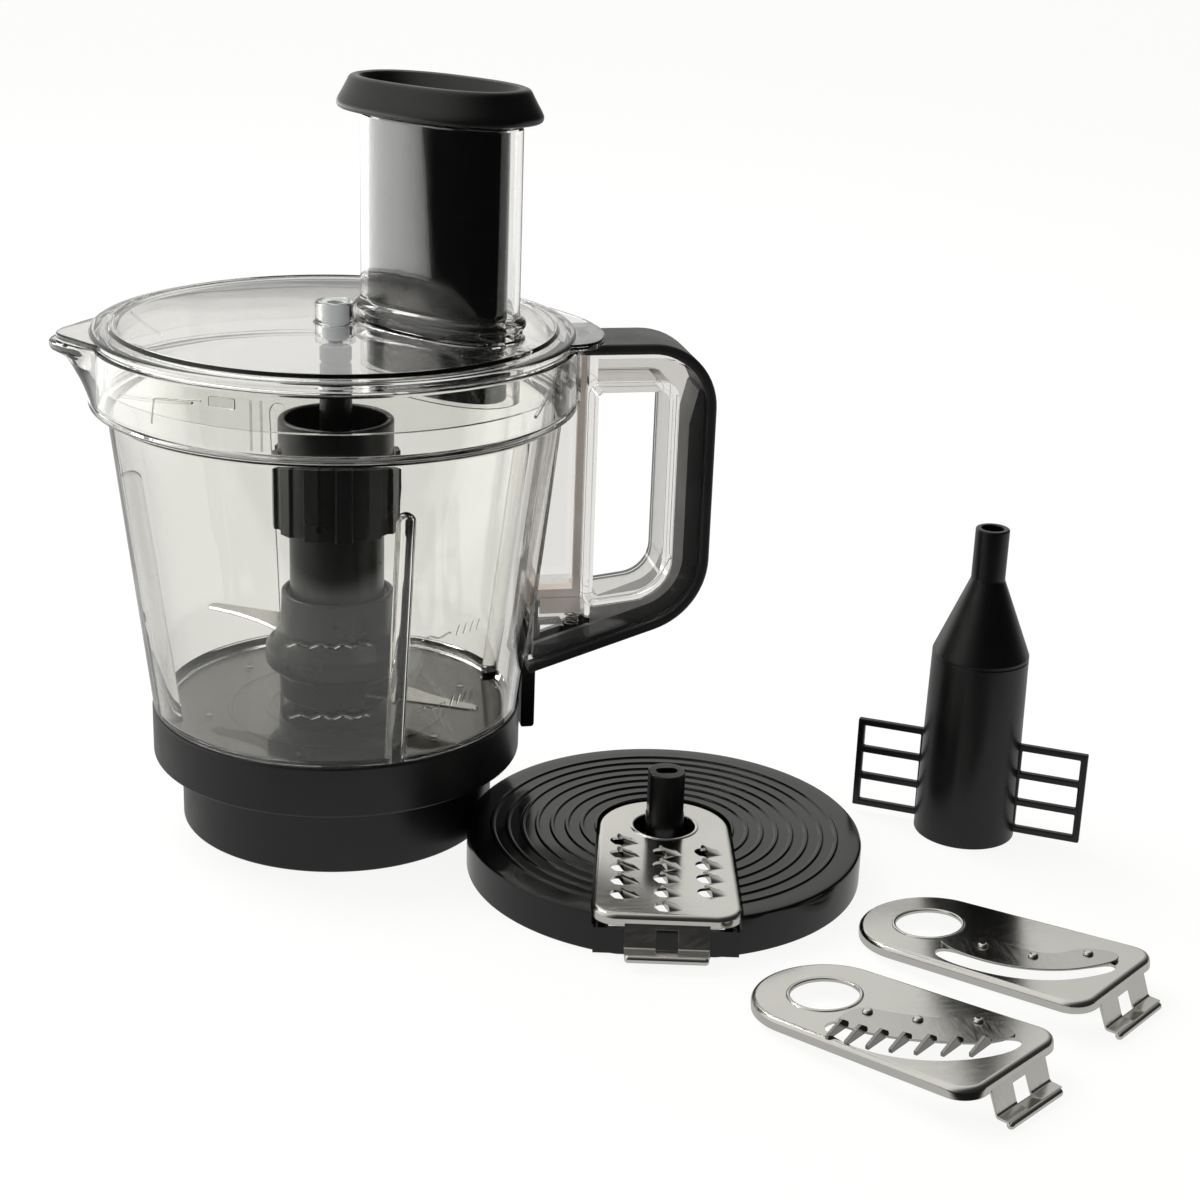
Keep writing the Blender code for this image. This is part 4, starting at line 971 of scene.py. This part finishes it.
def interlock():
    left, right = ROD
    inner, outer, bar = 0.0858, 0.0876, 0.0815
    arm_low, arm_high = 0.096, 0.101
    foot_half, cheek = 0.0045, 0.0008
    profile = [(left, 0.209), (right, 0.209), (right, arm_low)]
    profile += [(inner, arm_low), (inner, arm_high), (left, arm_high)]
    rod_piece = upright(flat("interlock_rod_moulded", [profile], -0.0035, 0.0035))
    soften(rod_piece, 0.0004, 2)
    sides = (-foot_half, foot_half - cheek)
    cheeks = [((outer + 0.0006, side, 0.09), (right, side + cheek, arm_low + 0.001)) for side in sides]
    gather(rod_piece, boxes("cheeks", *cheeks))
    put(rod_piece, HANDLE, "interlock", NATURAL, "natural_plastic", "interlock_rod")
    top = arm_low - 0.0003
    foot = [(inner, top, 0), (outer, top, 0), (outer, 0.035, 0.0015), (bar, 0.035, 0.001)]
    foot += [(bar, 0.066, 0), (inner, 0.069, 0)]
    foot_piece = soften(slab("interlock_foot_moulded", foot, foot_half), 0.0005, 3)
    put(foot_piece, HANDLE, "interlock", SATIN, "satin_black_plastic", "interlock_foot")


# ---------------------------------------------------------------- spindle and knife


def drive_spindle():
    profile = [
        (0, 0.224, 0),
        (PIN_R, 0.224, 0.0006),
        (PIN_R, SPINDLE_TOP, 0.0004),
        (SPINDLE_R, SPINDLE_TOP, 0.0009),
        (SPINDLE_R, 0.199, 0),
        (SPINDLE_R - 0.0006, 0.1984, 0),
        (SPINDLE_R - 0.0006, 0.1966, 0),
        (SPINDLE_R, 0.196, 0),
        (SPINDLE_R, 0.0516, 0.0004),
        (0.0048, 0.0516, 0),
        (0.0048, 0.0706, 0),
        (0, 0.0706, 0),
    ]
    shaft = lathe("drive_spindle_moulded", profile, FEW_SEGMENTS)
    put(shaft, AXIS, "spindle", SATIN, "satin_black_plastic", "drive_spindle")


def flute_outline():
    valley = FLUTE_R - 0.0017
    step = ((0, FLUTE_R), (13.5, FLUTE_R), (15.5, valley), (28, valley))
    return [polar(radius, 360 / FLUTES * i + turn) for i in range(FLUTES) for turn, radius in step]


def knife_column():
    """The knife's cup, fluted collar, column and hub, hollow over the bowl's post."""
    cavity, bore = POST_R + 0.0014, SPINDLE_R + 0.0005
    profile = [
        (CUP_R - 0.003, CUP_TOP, 0.001),
        (CUP_R, CUP_TOP, 0.0012),
        (CUP_R, FLUTE_TOP - 0.001, 0),
        (FLUTE_R - 0.0014, FLUTE_TOP - 0.001, 0),
        (FLUTE_R - 0.0014, FLUTE_LOW + 0.001, 0),
        (COLUMN_R, FLUTE_LOW + 0.001, 0.0006),
        (COLUMN_R, HUB_TOP - 0.0024, 0.0003),
        (HUB_R - 0.0018, HUB_TOP - 0.0024, 0.0003),
        (HUB_R - 0.0018, HUB_TOP, 0.0004),
        (HUB_R, HUB_TOP, 0.0008),
        (HUB_R + 0.0004, 0.0855, 0.003),
        (HUB_FLANGE_R, 0.0785, 0.0026),
        (HUB_FLANGE_R, 0.0708, 0.003),
        (HUB_FLANGE_R - 0.0058, 0.0665, 0.0016),
        (HUB_FLANGE_R - 0.006, 0.056, 0.001),
        (cavity, 0.056, 0.0005),
        (cavity, 0.101, 0.001),
        (bore, 0.106, 0.001),
        (bore, 0.156, 0.0005),
        (CUP_R - 0.003, 0.156, 0.002),
    ]
    column = lathe("knife_column_moulded", profile)
    inner = [polar(CUP_R - 0.0015, 360 * i / 96) for i in range(96)]
    flutes = flat("flutes", [flute_outline(), inner], FLUTE_LOW, FLUTE_TOP)
    soften(flutes, 0.0005, 3)
    tooth = [polar(FLUTE_R, -75), polar(FLUTE_R, -61.5), polar(0.0195, -62), polar(0.0195, -74)]
    tooth = soften(flat("tooth", [tooth], 0.1275, 0.14), 0.0005, 3)
    ledge = arc_bar("ledge", (CUP_R - 0.001, CUP_R + 0.0048), (164, 216), [(0.166, 0.169)] * 2)
    soften(ledge, 0.0006, 3)
    gather(column, flutes, tooth, ledge)
    slots = []
    for _, height, turn in BLADES:
        slot = boxes("slot", ((0.01, -0.0155, -0.0009), (0.04, 0.0155, 0.0009)))
        slot.data.transform(frame_at(0, 0, height, turn))
        slots.append(slot)
    cut(column, *slots)
    put(column, AXIS, "spindle", SATIN, "satin_black_plastic", "knife_column")


def blade_outline(inner, trim):
    """A sickle: nearly straight at its back, hollowed at its cutting edge, with a round tip."""
    tip, count = 0.0032, 24
    reach = BLADE_REACH - tip
    cutting, back = [], []
    for i in range(count + 1):
        share = i / count
        x = inner + (reach - inner) * share
        cutting.append((x, -0.0026 + 0.0165 * (1 - share) ** 2.1 - trim))
        back.append((x, -0.0139 + 0.0049 * share))
    middle, half = (cutting[-1][1] + back[-1][1]) / 2, (cutting[-1][1] - back[-1][1]) / 2
    arc = [polar(1, 80 - 20 * k) for k in range(9)]
    return cutting + [(reach + (tip - trim) * c, middle + half * d) for c, d in arc] + back[::-1]


def knife_blades():
    """Each blade is a plate whose leading edge is ground down to a fine one."""
    inner = POST_R + 0.0034
    for name, height, turn in BLADES:
        low, high = -BLADE_THICK / 2, BLADE_THICK / 2
        rings = []
        for trim, z in ((0.0, low), (0.0, low + 0.0005), (0.0009, high)):
            rings.append([(x, y, z) for x, y in blade_outline(inner, trim)])
        blade = loft(f"blade_{name}_ground", rings)
        place = AXIS @ frame_at(0, 0, height, turn)
        put(blade, place, "spindle", EDGE_STEEL, "polished_steel", f"blade_{name}", angle=12)


# ---------------------------------------------------------------- disc and inserts


def insert_outline(inset=0.0, height=None):
    """The plate's outline: round about the hub hole, widening to the clip's end."""
    back, half, length = INSERT_BACK_R - inset, INSERT_HALF_WIDTH - inset, INSERT_LENGTH - inset
    corner = max(0.01 - inset, 0.004)
    corners = [(0, back, 0), (length, half, corner), (length, -half, corner), (0, -back, 0)]
    loop = rounded(corners, steps=9)
    for i in range(1, 36):
        loop.append(polar(back, 270 - 5 * i))
    return loop if height is None else [(x, y, height) for x, y in loop]


def tab_piece():
    """The clip's tab: shoulders, a leaning face with a window, and a lip rolled outwards."""
    end, low = INSERT_LENGTH, -LIP_DEPTH
    lip = end + LIP_REACH
    side = [(end - 0.0012, -0.0036, 0), (end, -0.0036, 0), (lip - 0.001, low + 0.004, 0.0012)]
    side += [(lip + 0.0038, low + 0.0034, 0), (lip + 0.0038, low + 0.0026, 0)]
    side += [(lip - 0.0014, low + 0.003, 0.0012)]
    tab = slab("tab", side, TAB_HALF, 4)
    near, far = end - 0.003, end + 0.012
    window = boxes("window", ((near, -0.0044, -0.0138), (far, 0.0044, -0.0058)))
    cut(tab, window)
    soften(tab, 0.00025, 2, 50)
    at = (lip + 0.0036, low + 0.0016)
    bar = rod("bar", (at[0], -0.015, at[1]), (at[0], 0.015, at[1]), 0.0016, 20)
    return gather(tab, bar)


def hub_ring():
    """The rolled edge of the hub hole."""
    round_section = [polar(0.0008, 36 * k) for k in range(10)]
    section = [(HUB_HOLE_R + 0.0006 + r, z * 0.8 - 0.0001) for r, z in round_section]
    rings = [[(*polar(r, 360 * i / 64), z) for r, z in section] for i in range(64)]
    return loft("ring", rings, closed=True)


def insert_plate(name, cutters, extras):
    """A pressed plate with a rolled edge, a skirt, a ringed hub hole and a clip tab."""
    shell = [(0.0008, -SKIRT_DEPTH), (0.0003, -SKIRT_DEPTH + 0.0001), (0, -SKIRT_DEPTH + 0.0004)]
    shell += [(0, -0.0022), (0.0002, -0.0013), (0.0007, -0.0006), (0.0014, -0.0002), (0.0023, 0)]
    plate = loft(name, [insert_outline(inset, z) for inset, z in shell])
    pan = [(0.0014, -SKIRT_DEPTH - 0.001), (0.0014, -0.0024), (0.0018, -0.0017), (0.0028, -INSERT_THICK)]
    cut(plate, loft("pan", [insert_outline(inset, z) for inset, z in pan]))
    hole = rod("hole", (0, 0, -0.01), (0, 0, 0.01), HUB_HOLE_R, 72, domes=False)
    cut(plate, hole, *cutters)
    return gather(plate, tab_piece(), hub_ring(), *extras)


def grater_places():
    """The teeth's middles, in three columns along the plate."""
    rows = ((-0.0195, 0.0165, 5), (-0.002, 0.0265, 5), (0.0155, 0.025, 4))
    return [(start + 0.0127 * i, y) for y, start, count in rows for i in range(count)]


def teardrop(x, y):
    """A round hole drawn out to a point on its cutting side."""
    loop = [polar(0.0034, turn) for turn in range(60, 301, 12)]
    loop += [(0.0042, -0.0014), (0.0048, 0.0014), (0.0036, 0.0032)]
    return [(x + dx, y + dy) for dx, dy in loop]


def scoop(x, y):
    """A tooth's raised scoop: high over the hole's edge, falling away on the far side."""
    across, along, high = 0.0046, 0.0064, 0.0024
    columns, rows = 12, 10
    rings = []
    for k in range(rows + 1):
        share = k / rows
        ring = []
        for i in range(columns + 1):
            side = -1 + 2 * i / columns
            bulge = max(1 - side * side, 0) ** 0.6
            skew = 0.0016 * side
            rise = high * bulge * (1 - share) ** 1.2
            ring.append((x + across * side * (1 - 0.35 * share), y + 0.001 + skew + along * share, rise))
        ring += [(px, py, -0.0006) for px, py, _ in reversed(ring)]
        rings.append(ring)
    return loft("scoop", rings)


def grater_insert():
    places = grater_places()
    holes = gather(*(flat("hole", [teardrop(*place)], -0.004, 0.004) for place in places))
    plate = insert_plate("grater_pressed", [holes], [scoop(*place) for place in places])
    put(plate, GRATER, "grater_insert", STEEL, "polished_steel", "grater_insert")


def rivets(kind, places, place):
    profile = [
        (0, 0.0026, 0),
        (0.0014, 0.0026, 0.0009),
        (0.0024, 0.0014, 0.0003),
        (0.0011, 0.0014, 0),
        (0.0011, -0.0013, 0),
        (0.0019, -0.0013, 0.0002),
        (0.0016, -0.0022, 0.0004),
        (0, -0.0023, 0),
    ]
    for i, (x, y) in enumerate(places):
        name = f"{kind}_rivet_{i + 1}"
        piece = lathe(name + "_domed", profile, 32)
        put(piece, place @ Matrix.Translation((x, y, 0)), f"{kind}_insert", STEEL, "polished_steel", name)


def rivet_holes(places):
    return gather(*(rod("hole", (x, y, -0.003), (x, y, 0.003), 0.0013, 20, domes=False) for x, y in places))


def slotted_plate(kind, place, slot, places):
    """A loose insert's pressed plate, with its cutting slot and the holes of its rivets."""
    cutters = [flat("slot", [smooth_loop(slot, 2)], -0.003, 0.002), rivet_holes(places)]
    plate = insert_plate(f"{kind}_plate_pressed", cutters, [])
    put(plate, place, f"{kind}_insert", STEEL, "polished_steel", f"{kind}_plate")


def ground_strip(kind, part, place, outline, places):
    """The ground blade that lies on an insert's plate."""
    strip = flat(f"{kind}_{part}_ground", [outline], 0.0003, 0.0013)
    cut(strip, rivet_holes(places))
    soften(strip, 0.0003, 2)
    put(strip, place, f"{kind}_insert", EDGE_STEEL, "polished_steel", f"{kind}_{part}")


def slicing_insert():
    places = ((0.03, -0.008), (0.0505, -0.005), (0.0665, 0.009))
    slot = [(0.015, -0.0218), (0.025, -0.0256), (0.041, -0.0258), (0.055, -0.0226), (0.0666, -0.0162)]
    slot += [(0.0752, -0.0064), (0.0812, 0.0052), (0.0765, 0.01), (0.0715, 0.004), (0.065, -0.004)]
    slot += [(0.056, -0.0105), (0.044, -0.0145), (0.03, -0.0155), (0.017, -0.015)]
    slotted_plate("slicing", SLICER, slot, places)
    edge = [(0.014, -0.0145), (0.028, -0.0185), (0.043, -0.0182), (0.056, -0.0144), (0.0668, -0.0072)]
    edge += [(0.0738, 0.002), (0.0785, 0.012), (0.074, 0.0175), (0.062, 0.0135), (0.056, 0.0015)]
    edge += [(0.044, -0.0015), (0.03, 0.0005), (0.02, -0.005), (0.014, -0.0105)]
    ground_strip("slicing", "blade", SLICER, smooth_loop(edge, 2), places)
    rivets("slicing", places, SLICER)


def comb_line(share):
    """A point of the comb's bowed edge, from its hub end to its rim end."""
    return 0.0225 + 0.0475 * share, -0.018 + 0.0215 * max(share, 0) ** 1.8


def comb_tooth(x, y):
    """An upright tooth: a thin blade with a slanted top, ground at the front."""
    half, low, high = 0.0008, 0.0002, 0.0044
    front, back = y - 0.0098, y + 0.0022
    ring = [(front, low - 0.0008), (back + 0.0008, low), (back, high - 0.002), (y - 0.0012, high)]
    ring.append((front, 0.001))
    rings = [[(x + side, py, pz) for py, pz in ring] for side in (-half, half)]
    return soften(loft("tooth", rings), 0.0002, 2)


def julienne_insert():
    places = ((0.023, -0.004), (0.041, 0.0025), (0.0585, 0.0155))
    slot = [(0.0155, -0.0226), (0.03, -0.027), (0.046, -0.0258), (0.0612, -0.019), (0.0736, -0.007)]
    slot += [(0.0805, 0.0076), (0.0775, 0.017), (0.0685, 0.011), (0.0595, 0.0022), (0.048, -0.0062)]
    slot += [(0.035, -0.0105), (0.023, -0.012), (0.0155, -0.0145)]
    slotted_plate("julienne", JULIENNE, slot, places)
    strip = [comb_line(share / 20) for share in range(-2, 21)]
    strip += [(0.074, 0.011), (0.0745, 0.017), (0.064, 0.02), (0.054, 0.015), (0.042, 0.0065)]
    strip += [(0.03, 0.0015), (0.019, -0.001), (0.0165, -0.008)]
    ground_strip("julienne", "comb", JULIENNE, smooth_loop(strip, 1), places)
    teeth = gather(*(comb_tooth(*comb_line(i / 6)) for i in range(7)))
    teeth.name = "julienne_teeth"
    # The teeth wear the darker steel: painted shade on their faces.
    put(teeth, JULIENNE, "julienne_insert", SHADED_TOOTH_STEEL, "polished_steel")
    rivets("julienne", places, JULIENNE)


def disc():
    """The carrier disc: fine raised rings, a deep bed for an insert and a window under it."""
    skin, rim, hub = 0.003, 0.0026, 0.0125
    profile = [(0, DISC_TOP, 0)]
    for i in range(RIDGES):
        radius = RIDGE_FIRST + RIDGE_PITCH * i
        profile += [(radius - 0.0011, DISC_TOP, 0.0003), (radius - 0.0005, DISC_TOP + RIDGE_HIGH, 0.0003)]
        profile += [(radius + 0.0005, DISC_TOP + RIDGE_HIGH, 0.0003), (radius + 0.0011, DISC_TOP, 0.0003)]
    profile += [
        (DISC_R - 0.006, DISC_TOP, 0),
        (DISC_R, DISC_TOP, 0.0018),
        (DISC_R, 0, 0.0006),
        (DISC_R - rim, 0, 0.0006),
        (DISC_R - rim, DISC_TOP - skin, 0.001),
        (hub, DISC_TOP - skin, 0.001),
        (hub, 0, 0.0005),
        (0, 0, 0),
    ]
    plate = lathe("disc_moulded", profile, 192, 3)
    bed_floor = DISC_TOP - BED_DEPTH
    block = flat("block", [insert_outline(-0.003)], bed_floor - 0.0026, DISC_TOP - 0.001)
    trim = rod("trim", (0, 0, -0.01), (0, 0, 0.04), DISC_R - 0.0005, 128, domes=False)
    turn = frame_at(0, 0, 0, GRATER_TURN)
    block.data.transform(turn)
    boolean(block, [trim], "INTERSECT")
    bed = flat("bed", [insert_outline(-0.0006)], bed_floor, DISC_TOP + 0.004)
    window = boxes("window", ((0.015, -0.023, -0.001), (0.079, 0.023, DISC_TOP)))
    face = boxes("face", ((0.081, -0.03, -0.001), (0.1, 0.03, 0.03)))
    notch = boxes("notch", ((0.0816, -0.0186, 0.004), (0.1, 0.0186, 0.03)))
    backing = boxes("backing", ((0.079, -0.029, 0.0003), (0.0809, 0.029, DISC_TOP - 0.002)))
    for piece in (bed, window, face, notch, backing):
        piece.data.transform(turn)
    join(plate, block, backing)
    cut(plate, bed, window, face, notch)
    put(plate, DISC, "disc", DISC_BLACK, "gloss_black_plastic", "disc", angle=25)


def disc_stem():
    """The socket that stands up through the insert's hub hole, with two flats and a slot."""
    foot = DISC_TOP - BED_DEPTH + 0.0003
    profile = [(0, STEM_TOP, 0), (STEM_R, STEM_TOP, 0.0007), (STEM_R, foot, 0), (0, foot, 0)]
    stem = lathe("disc_stem_moulded", profile, FEW_SEGMENTS)
    sides = ((0.0074, 0.012), (-0.012, -0.0074))
    flats = [boxes("flat", ((left, -0.01, 0.024), (right, 0.01, 0.05))) for left, right in sides]
    corners = [(-1, -1), (1, -1), (1, 1), (-1, 1)]
    slot = rounded([(0.0046 * x, 0.0027 * y, 0.0025) for x, y in corners], steps=6)
    cut(stem, *flats, flat("slot", [slot], 0.016, 0.048))
    soften(stem, 0.0004, 3, 50)
    put(stem, DISC, "disc", SATIN, "gloss_black_plastic", "disc_stem")


# ---------------------------------------------------------------- paddle


def ladder_wing():
    """One wing: a frame of round-edged bars with two rungs."""
    inner = PADDLE_SHOULDER_R - 0.001
    loops = [[(inner, WING_LOW), (WING_REACH, WING_LOW), (WING_REACH, WING_HIGH), (inner, WING_HIGH)]]
    pitch = (WING_HIGH - WING_LOW - WING_BAR) / 3
    for i in range(3):
        low = WING_LOW + WING_BAR + pitch * i
        high = low + pitch - WING_BAR
        left, right = PADDLE_FOOT_R + 0.0004, WING_REACH - WING_BAR
        loops.append([(left, low), (right, low), (right, high), (left, high)])
    wing = upright(flat("wing", loops, -WING_BAR / 2, WING_BAR / 2))
    return soften(wing, 0.0011, 3)


def paddle():
    skin = 0.002
    ring_z = PADDLE_SHOULDER_Z - 0.0016
    profile = [
        (NECK_R - 0.0026, NECK_TOP, 0.0006),
        (NECK_R, NECK_TOP, 0.0008),
        (NECK_R, NECK_LOW, 0.003),
        (PADDLE_SHOULDER_R, PADDLE_SHOULDER_Z, 0.0014),
        (PADDLE_SHOULDER_R, ring_z + 0.0003, 0),
        (PADDLE_SHOULDER_R - 0.0003, ring_z, 0),
        (PADDLE_SHOULDER_R, ring_z - 0.0004, 0),
        (PADDLE_FOOT_R, 0, 0.0006),
        (PADDLE_FOOT_R - skin, 0, 0.0006),
        (PADDLE_SHOULDER_R - skin, PADDLE_SHOULDER_Z - 0.002, 0.001),
        (NECK_R - 0.0026, NECK_LOW - 0.003, 0.001),
    ]
    hub = lathe("paddle_moulded", profile, FEW_SEGMENTS * 2)
    other = ladder_wing()
    other.data.transform(frame_at(0, 0, 0, 180))
    gather(hub, ladder_wing(), other)
    put(hub, PADDLE, "paddle", SATIN, "satin_black_plastic", "paddle")


# ---------------------------------------------------------------- carried-over nodes


def carried_over():
    """Nodes whose shape is right as it is: each gets its surface."""
    surfaces = {"shaft_bush": BRONZE, "shaft_seal": RUBBER, "floor_gasket": RUBBER}
    surfaces |= {"drive_shaft": STEEL, "circlip": SPRING_STEEL, "drive_coupling": SATIN}
    surfaces |= {"interlock_spring": SPRING_STEEL}
    surfaces |= {f"base_screw_{i + 1}": STEEL for i in range(SCREWS)}
    for name, surface in surfaces.items():
        mesh = frame["nodes"][name].data
        mesh.materials.clear()
        mesh.materials.append(surface)
        mesh.shade_smooth()
        mesh.set_sharp_from_angle(angle=math.radians(35))


# ---------------------------------------------------------------- stage


def stage_piece(obj, color, glow, specular):
    """Shades a piece of the stage, which reflects a little and glows."""
    shader = Shader(obj.name, color, 0.8, Specular_IOR_Level=specular, Emission_Strength=1.0)
    shader.surface.inputs["Emission Color"].default_value = (*glow, 1)
    obj.data.materials.append(shader.material)
    return shader


def sheet(name, height):
    """A level square, set about the origin."""
    corners = ((-1, -1), (1, -1), (1, 1), (-1, 1))
    return made(name, [(FLOOR_HALF * x, FLOOR_HALF * y, height) for x, y in corners], [(0, 1, 2, 3)])


def mixed(shader, operation, first, second):
    step = shader.nodes.new("ShaderNodeMath")
    step.operation = operation
    shader.links.new(first, step.inputs[0])
    shader.links.new(second, step.inputs[1])
    return step.outputs["Value"]


def painted_light_sheet(name, height, near_painted_light, left_painted_light):
    """A hidden glowing sheet that paints light and shade into reflections, or into what the clear parts
    show: painted shade in front of the set, painted light behind it and more at the left.
    """
    plane = sheet(name, height)
    shader = stage_piece(plane, (0, 0, 0), (1, 1, 0.985), 0.1)
    plane.visible_camera = plane.visible_diffuse = plane.visible_shadow = False
    split = shader.nodes.new("ShaderNodeSeparateXYZ")
    shader.links.new(shader.space, split.inputs["Vector"])
    # Painted shade in front of the set, painted light behind it, brighter still at the left.
    near = spread(shader, split.outputs["Y"], -0.207, -0.19, 0.01, near_painted_light, "SMOOTHSTEP")
    leftness = spread(shader, split.outputs["X"], -0.5, -0.75, 0.0, left_painted_light, "SMOOTHSTEP")
    behind = spread(shader, split.outputs["Y"], -0.3, 0.15, 0.0, 1.0, "SMOOTHSTEP")
    glow = mixed(shader, "ADD", near, mixed(shader, "MULTIPLY", leftness, behind))
    shader.links.new(glow, shader.surface.inputs["Emission Strength"])
    return plane


def floor():
    """The pale floor; a sheet of painted reflections, dark in front and bright at the left, that gloss and
    metal see in its place; and a sheet of painted light and shade that the clear parts show.
    """
    pale = sheet("floor", -0.0001)
    stage_piece(pale, (0.12, 0.12, 0.118), (0.9, 0.9, 0.895), 0.1)
    pale.visible_glossy = pale.visible_transmission = False
    # Painted reflections for gloss and metal, and painted light and shade seen through the clear parts.
    painted_light_sheet("painted_reflection_sheet", -0.0005, 0.55, 1.9).visible_transmission = False
    painted_light_sheet("painted_light_under_clear", -0.0009, 0.98, 1.3).visible_glossy = False


def backdrop():
    """A pale dome about the set, which only the camera sees, above the floor's far rim."""
    rings = []
    for k in range(12):
        reach, height = polar(FLOOR_HALF - 0.2, 88 / 11 * k)
        rings.append([(*polar(reach, 360 * i / 48), height - 0.05) for i in range(48)])
    dome = loft("backdrop", rings)
    stage_piece(dome, (0, 0, 0), (0.955, 0.955, 0.95), 0.0)
    dome.visible_glossy = dome.visible_diffuse = dome.visible_transmission = dome.visible_shadow = False


def world():
    """A room that is bright behind and to the left, and dark on the right and behind the viewer."""
    sky = bpy.data.worlds.new("room")
    bpy.context.scene.world = sky
    sky.use_nodes = True
    nodes, links = sky.node_tree.nodes, sky.node_tree.links
    direction = nodes.new("ShaderNodeTexCoord").outputs["Generated"]
    towards = nodes.new("ShaderNodeVectorMath")
    towards.operation = "DOT_PRODUCT"
    towards.inputs[1].default_value = Vector((-0.7, 0.62, 0.3)).normalized()
    tones = ((0.0, 0.02), (0.42, 0.05), (0.6, 0.26), (0.74, 0.8), (0.86, 1.0), (1.0, 1.0))
    stops = [(share, (tone, tone, tone * 0.97)) for share, tone in tones]
    links.new(direction, towards.inputs[0])
    share = spread(sky.node_tree, towards.outputs["Value"], -1, 1, 0, 1)
    links.new(ramp(sky.node_tree, share, stops), nodes["Background"].inputs["Color"])
    nodes["Background"].inputs["Strength"].default_value = 0.9


def light(name, place, aim, size, power):
    data = bpy.data.lights.new(name, "AREA")
    data.shape = "RECTANGLE"
    data.size, data.size_y = size
    data.energy = power
    lamp = linked(name, data)
    lamp.location = place
    lamp.rotation_euler = (Vector(aim) - Vector(place)).to_track_quat("-Z", "Y").to_euler()
    lamp.visible_glossy = False


def camera():
    yaw, pitch, roll = (math.radians(value) for value in (YAW, PITCH, ROLL))
    forward = Vector((math.sin(yaw) * math.cos(pitch), math.cos(yaw) * math.cos(pitch), -math.sin(pitch)))
    right = Vector((math.cos(yaw), -math.sin(yaw), 0))
    up = right.cross(forward)
    right, up = (
        right * math.cos(roll) + up * math.sin(roll),
        up * math.cos(roll) - right * math.sin(roll),
    )
    data = bpy.data.cameras.new("camera")
    data.sensor_width = 36.0
    data.lens = LENS
    data.clip_start = 0.01
    view = linked("camera", data)
    turn = Matrix((right, up, -forward)).transposed().to_4x4()
    view.matrix_world = AXIS @ Matrix.Translation(EYE) @ turn
    bpy.context.scene.camera = view


def stage():
    floor()
    backdrop()
    world()
    light("key", (-0.9, 0.9, 1.5), (0, 0, 0.05), (1.3, 1.0), 26)
    light("fill", (1.0, -0.5, 1.4), (0, 0, 0.05), (0.9, 0.9), 4)
    camera()
    bpy.context.scene.view_settings.view_transform = "Standard"


def main():
    base_collar()
    bowl()
    bowl_marks()
    lid()
    lid_bush()
    pusher()
    handle_grip()
    grip_core()
    handle_web()
    interlock()
    drive_spindle()
    knife_column()
    knife_blades()
    disc()
    disc_stem()
    grater_insert()
    slicing_insert()
    julienne_insert()
    paddle()
    carried_over()
    stage()


main()
